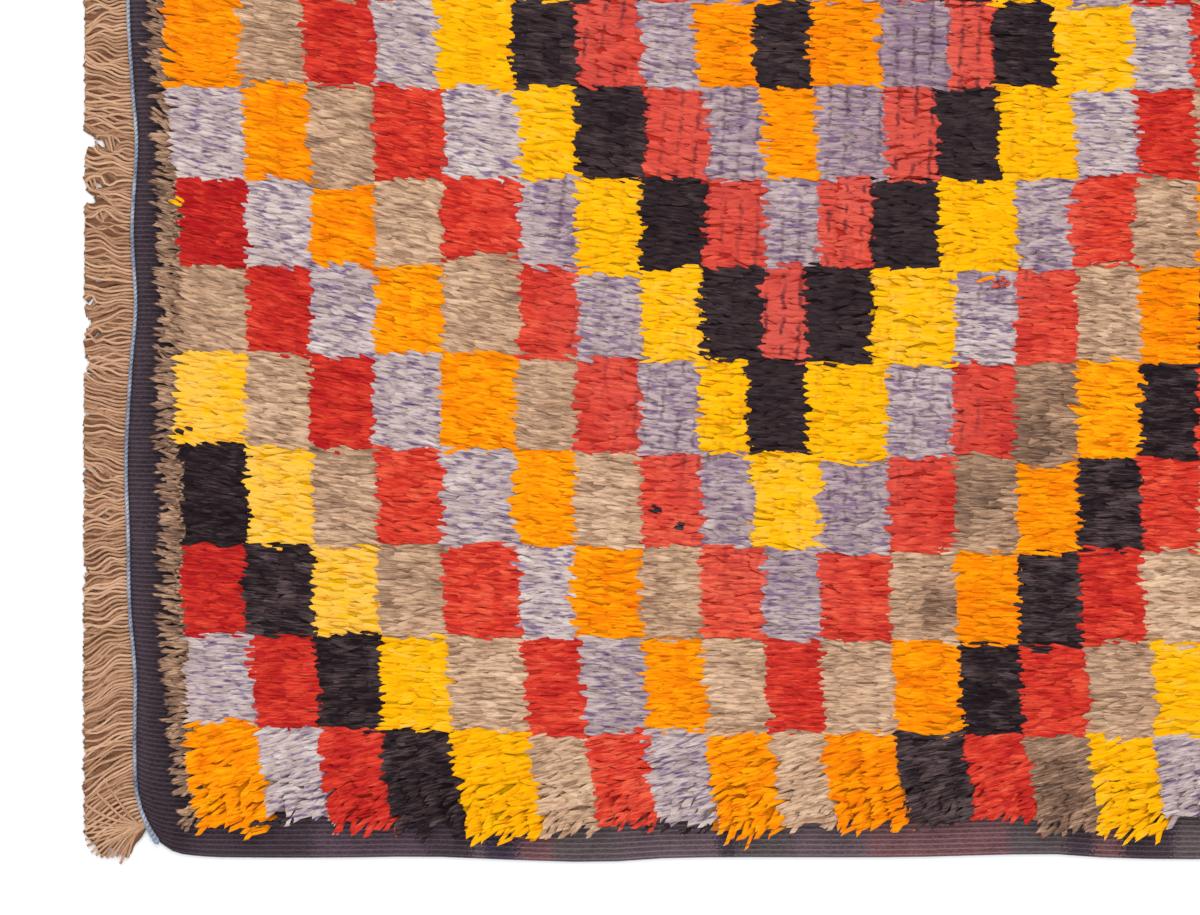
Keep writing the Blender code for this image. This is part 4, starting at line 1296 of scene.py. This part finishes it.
def build_cord(name, turn):
    """Two strands of blue wool twined round each other; turn is 1 at the left end, -1 at the right."""
    length = float(np.linalg.norm(np.diff(end_path(), axis=0), axis=1).sum())
    rings = round(length / TWINE_PITCH * TWINE_RINGS_PER_TURN)
    path = smooth_path(end_path(), rings)
    travel = np.linspace(0.0, length, rings + 1)
    from_corner = np.minimum(travel, length - travel)
    size = 1.0 + (TWINE_CORNER_SHARE - 1.0) * np.clip(1.0 - from_corner / TWINE_CORNER_LENGTH, 0.0, 1.0)
    run = np.gradient(path, axis=0)
    run /= np.linalg.norm(run, axis=1)[:, None]
    side = np.stack([-run[:, 1], run[:, 0]], axis=1)
    strands = []
    for half in (0, 1):
        angle = 2 * math.pi * travel / TWINE_PITCH + math.pi * half
        flat = path + side * (TWINE_RADIUS * size * np.cos(angle))[:, None]
        high = (TWINE_RADIUS + TWINE_HALF_WIDTH) * size + TWINE_RADIUS * size * np.sin(angle)
        strands.append(np.concatenate([flat, high[:, None]], axis=1))
    centres = np.stack(strands)
    widths = np.broadcast_to(TWINE_HALF_WIDTH * size, centres.shape[:2])
    angles = 2 * math.pi * (np.arange(TWINE_SIDES) + 0.5) / TWINE_SIDES
    points = tube_points(centres, widths, widths, angles).reshape(2, -1, 3)
    points[..., :2] *= turn
    values = {"travel": np.broadcast_to(np.repeat(travel, TWINE_SIDES), points.shape[:2])}
    mesh = repeated_mesh(name, points, tube_faces(rings + 1, TWINE_SIDES, pointed=False), values)
    finish = {"roughness": 0.82, "sheen": 0.15, "sheen_tint": (160, 170, 185)}
    material = wool_material("steel_blue_wool", cord_wool, **finish)
    return add_piece(name, mesh, material, name.replace("twined_cord", "end_cord"))


def cord_wool(tree):
    """Steel-blue wool with darker stretches."""
    fine = noise(tree, object_place(tree), 900.0, 3.0)
    stretches = noise(tree, object_place(tree), 55.0, 1.0)
    ticks = calculate(tree, "MULTIPLY", attribute(tree, "travel", "Fac"), 4 * math.pi / TWINE_PITCH)
    ticks = calculate(tree, "SINE", ticks)
    level = calculate(tree, "MULTIPLY_ADD", fine, 0.5, calculate(tree, "MULTIPLY", stretches, 0.7))
    level = calculate(tree, "MULTIPLY_ADD", ticks, 0.07, level)
    return ramp(tree, level, CORD_SHADES), fine


def notch_depth(up):
    """How far the fringe ends stand back at places up the rug."""
    depth = np.zeros_like(up)
    for middle, half_width, deepest in FRINGE_NOTCHES:
        away = np.abs(up - middle) / half_width
        depth = np.maximum(depth, np.where(away < 1.0, deepest * (1 - away**2), 0.0))
    return depth


def part_round_holes(x, y):
    """Places up the rug of strand points, pushed apart so that small holes stay open between them."""
    for along, up, half_length, half_height in FRINGE_HOLES:
        hole_x, hole_y = place(np.array(along), np.array(up))
        away = (x - hole_x) / (half_length * HOLE_LENGTH_SHARE)
        inside = np.sqrt(np.clip(1.0 - away**2, 0.0, 1.0))
        clear = (half_height + UNDER_FORM[2]) * inside
        away = np.abs(y - hole_y)
        moved = np.where(away < HOLE_REACH, clear + away * (HOLE_REACH - clear) / HOLE_REACH, away)
        y = hole_y + np.where(y < hole_y, -moved, moved)
    return y


def warp_roots():
    """Where the warps of a fringe leave the cord, evenly spaced along it."""
    outer = offset_path(end_path(), -(CORD_THICKNESS / 2 - GAP))[CORD_BEYOND_FRINGE:][:-CORD_BEYOND_FRINGE]
    share = ((np.arange(WARPS_PER_STATION) + 0.5) / WARPS_PER_STATION)[None, :, None]
    return (outer[:-1, None, :] * (1 - share) + outer[1:, None, :] * share).reshape(-1, 2)


def lay_warps(seed, upper):
    """How the warps of one layer of a fringe lie: their roots and tips, and phase, swing, lift and bow."""
    draw = np.random.default_rng(seed)
    roots = warp_roots()
    count = len(roots)
    up = roots[:, 1] + RUG_WIDTH / 2

    def wavy(name):
        amount, size, step = WARP_UNEVEN[name]
        return amount * lumps(up, 0.0 * up, size, seed + step)

    bunch = (wavy("bunch") + wavy("fine bunch")) * (1.0 if upper else UNDER_BUNCHING)
    tip_up = up + smooth_value(FRINGE_DRIFT, up) + bunch + draw.normal(0.0, TIP_SPREAD, count)
    inset = smooth_value(FRINGE_CORNER_INSET, np.minimum(up, RUG_WIDTH - up))
    inset = inset + notch_depth(tip_up) + np.abs(draw.normal(0.0, WARP_LENGTH_SPREAD, count))
    phase = wavy("phase") + draw.normal(0.0, WARP_PHASE_SPREAD, count)
    lift = LIFT_SPREAD * draw.uniform(0.0, 1.0, count) + LIFT_LUMPS * (1.0 + wavy("lift"))
    return roots, place(inset, tip_up), np.stack([phase, SWING * (1.0 + wavy("swing")), lift, wavy("bow")])


def corner_warps(root):
    """The same for the warps that spread over the others from the last root, at the corner."""
    along, up, lift = np.array(CORNER_CROSSINGS).T
    bends = np.stack([along * CROSSING_PHASES, np.full(len(lift), CROSSING_SWING), lift, 0.0 * lift])
    return np.repeat(root, len(lift), axis=0), place(along, up), bends


def warp_lines(seed, rings, low, upper):
    """Centre lines of one layer of warps of a fringe, from the cord to their cut ends."""
    roots, tips, bends = lay_warps(seed, upper)
    if upper:
        more_roots, more_tips, more_bends = corner_warps(roots[-1:])
        roots, tips = np.concatenate([roots, more_roots]), np.concatenate([tips, more_tips])
        bends = np.concatenate([bends, more_bends], axis=1)
    phase, swing, lift, bow = bends[..., None]
    share = np.linspace(0.0, 1.0, rings)[None, :]
    x = roots[:, :1] + (tips[:, :1] - roots[:, :1]) * share
    y = roots[:, 1:] + (tips[:, 1:] - roots[:, 1:]) * share**DRIFT_POWER
    starts = np.clip(share * SWING_START, 0.0, 1.0)
    y = y + swing * np.sin(2 * math.pi * SWING_WAVES * share + phase) * starts
    y = y + bow * np.sin(math.pi * share)
    y = part_round_holes(x, y)
    z = low + lift * np.sin(math.pi * np.clip(share * LIFT_END, 0.0, 1.0))
    return np.stack([x, y, z], axis=-1)


def plied_points(centres, sides, half_width, flatness, seed):
    """Points round plied warps, and a painted light for each: paler on the plies, darker in the groove
    between them.
    """
    draw = np.random.default_rng(seed)
    count, rings = centres.shape[:2]
    share = np.linspace(0.0, 1.0, rings)
    width = half_width * (1.0 + (WARP_TIP_SHARE - 1.0) * share)[None, :]
    width = width * (1.0 + draw.normal(0.0, WARP_WIDTH_SPREAD, (count, 1)))
    angles = 2 * math.pi * np.arange(sides) / sides
    turn = 2 * math.pi * PLY_TWISTS * share[None, :] + draw.uniform(0.0, 2 * math.pi, (count, 1))
    ply = np.cos(2 * angles[None, None, :] - 2 * turn[..., None])
    points = tube_points(centres, width, width * flatness, angles)
    middle = centres[..., None, :]
    points = middle + (points - middle) * (1.0 + PLY_DEPTH * ply)[..., None]
    points[..., 2] = np.maximum(points[..., 2], LOWEST_POINT)
    return points.reshape(count, -1, 3), (0.5 + 0.5 * ply).reshape(count, -1)


def build_fringe(name, turn, seed, upper):
    """One layer of plied warps, each in its own curve; turn is 1 at the left end, -1 at the right."""
    rings, sides, half_width, flatness, lift = WARP_FORM if upper else UNDER_FORM
    centres = warp_lines(seed, rings, half_width * flatness + lift, upper)
    points, ply_light = plied_points(centres, sides, half_width, flatness, seed + 9)
    points[..., :2] *= turn
    count = len(centres)
    draw = np.random.default_rng(seed + 10)
    # The under layer is darker as painted shade, lying beneath the upper warps
    tone = draw.uniform(*FRINGE_TONES, (count, 1)) - (0.0 if upper else UNDER_PAINTED_SHADE)
    travel = np.repeat(np.linspace(0.0, 1.0, rings), sides) * WARP_FIBRE_SCALES[1]
    offset = draw.uniform(0.0, FIBRE_OFFSET, (count, 1))
    across = np.tile(np.arange(sides) * WARP_FIBRE_SCALES[0], rings)
    fibre = np.stack([np.broadcast_to(part, ply_light.shape) for part in (across, travel, offset)], axis=-1)
    values = {"ply_light": ply_light, "tone": np.broadcast_to(tone, ply_light.shape), "fibre": fibre}
    mesh = repeated_mesh(name, points, tube_faces(rings, sides, pointed=False), values)
    node_name = "fringe_left" if turn > 0 else "fringe_right"
    finish = {"roughness": 0.85, "sheen": 0.15, "sheen_tint": (220, 180, 140), "relief": 0.0005}
    material = wool_material("undyed_plied_wool", fringe_wool, **finish)
    return add_piece(name, mesh, material, node_name)


def fringe_wool(tree):
    """Undyed camel wool, plied, with painted shade in the grooves between plies and on the under layer."""
    fine = noise(tree, attribute(tree, "fibre", "Vector"), 1.0, 3.0)
    level = calculate(tree, "MULTIPLY", attribute(tree, "tone", "Fac"), 0.22)
    # Painted light: paler on the plies, darker in the grooves between them
    level = calculate(tree, "MULTIPLY_ADD", attribute(tree, "ply_light", "Fac"), 0.30, level)
    level = calculate(tree, "MULTIPLY_ADD", fine, 0.50, level)
    return ramp(tree, level, FRINGE_SHADES), fine


def add_camera():
    """A camera straight above the rug, over the corner that the photo shows."""
    data = bpy.data.cameras.new("camera")
    data.sensor_width = SENSOR_WIDTH
    data.lens = LENS
    camera = bpy.data.objects.new("camera", data)
    camera.location = (*VIEW_CENTRE, VIEW_WIDTH * LENS / SENSOR_WIDTH)
    bpy.context.scene.collection.objects.link(camera)
    bpy.context.scene.camera = camera


def add_floor():
    """The pale floor the rug lies on."""
    mesh = bpy.data.meshes.new("floor")
    half = FLOOR_HALF_SIZE
    corners = [(-half, -half, 0), (half, -half, 0), (half, half, 0), (-half, half, 0)]
    mesh.from_pydata(corners, [], [(0, 1, 2, 3)])
    floor = bpy.data.objects.new("floor", mesh)
    material = bpy.data.materials.new("pale_floor")
    material.use_nodes = True
    shader = material.node_tree.nodes["Principled BSDF"]
    shader.inputs["Base Color"].default_value = FLOOR_SHADE
    shader.inputs["Roughness"].default_value = 0.9
    mesh.materials.append(material)
    bpy.context.scene.collection.objects.link(floor)


def add_lights():
    """A broad key light from the rug's upper side, and an even pale sky."""
    data = bpy.data.lights.new("key", "AREA")
    data.shape = "DISK"
    data.size = KEY_SIZE
    data.energy = KEY_ENERGY
    key = bpy.data.objects.new("key", data)
    key.location = KEY_PLACE
    key.rotation_euler = (math.radians(KEY_TILT), 0.0, 0.0)
    bpy.context.scene.collection.objects.link(key)
    world = bpy.data.worlds.new("studio")
    world.use_nodes = True
    sky = world.node_tree.nodes["Background"]
    sky.inputs["Color"].default_value = SKY_SHADE
    sky.inputs["Strength"].default_value = SKY_STRENGTH
    bpy.context.scene.world = world


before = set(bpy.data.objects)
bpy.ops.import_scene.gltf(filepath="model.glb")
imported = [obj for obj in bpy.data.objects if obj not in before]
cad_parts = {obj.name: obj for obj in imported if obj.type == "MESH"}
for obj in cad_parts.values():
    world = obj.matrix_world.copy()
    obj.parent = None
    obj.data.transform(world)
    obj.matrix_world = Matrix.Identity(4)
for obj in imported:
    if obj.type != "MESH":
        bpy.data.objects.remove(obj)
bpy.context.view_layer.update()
bpy.context.scene.view_settings.view_transform = "Standard"
add_camera()
add_floor()
add_lights()
pile = build_pile()
pile.append(build_bed())
ground = build_ground()
cords = [build_cord("twined_cord_left", turn=1.0), build_cord("twined_cord_right", turn=-1.0)]
fringes = [
    build_fringe("fringe_warps_left", turn=1.0, seed=700, upper=True),
    build_fringe("fringe_under_left", turn=1.0, seed=720, upper=False),
    build_fringe("fringe_warps_right", turn=-1.0, seed=800, upper=True),
    build_fringe("fringe_under_right", turn=-1.0, seed=820, upper=False),
]
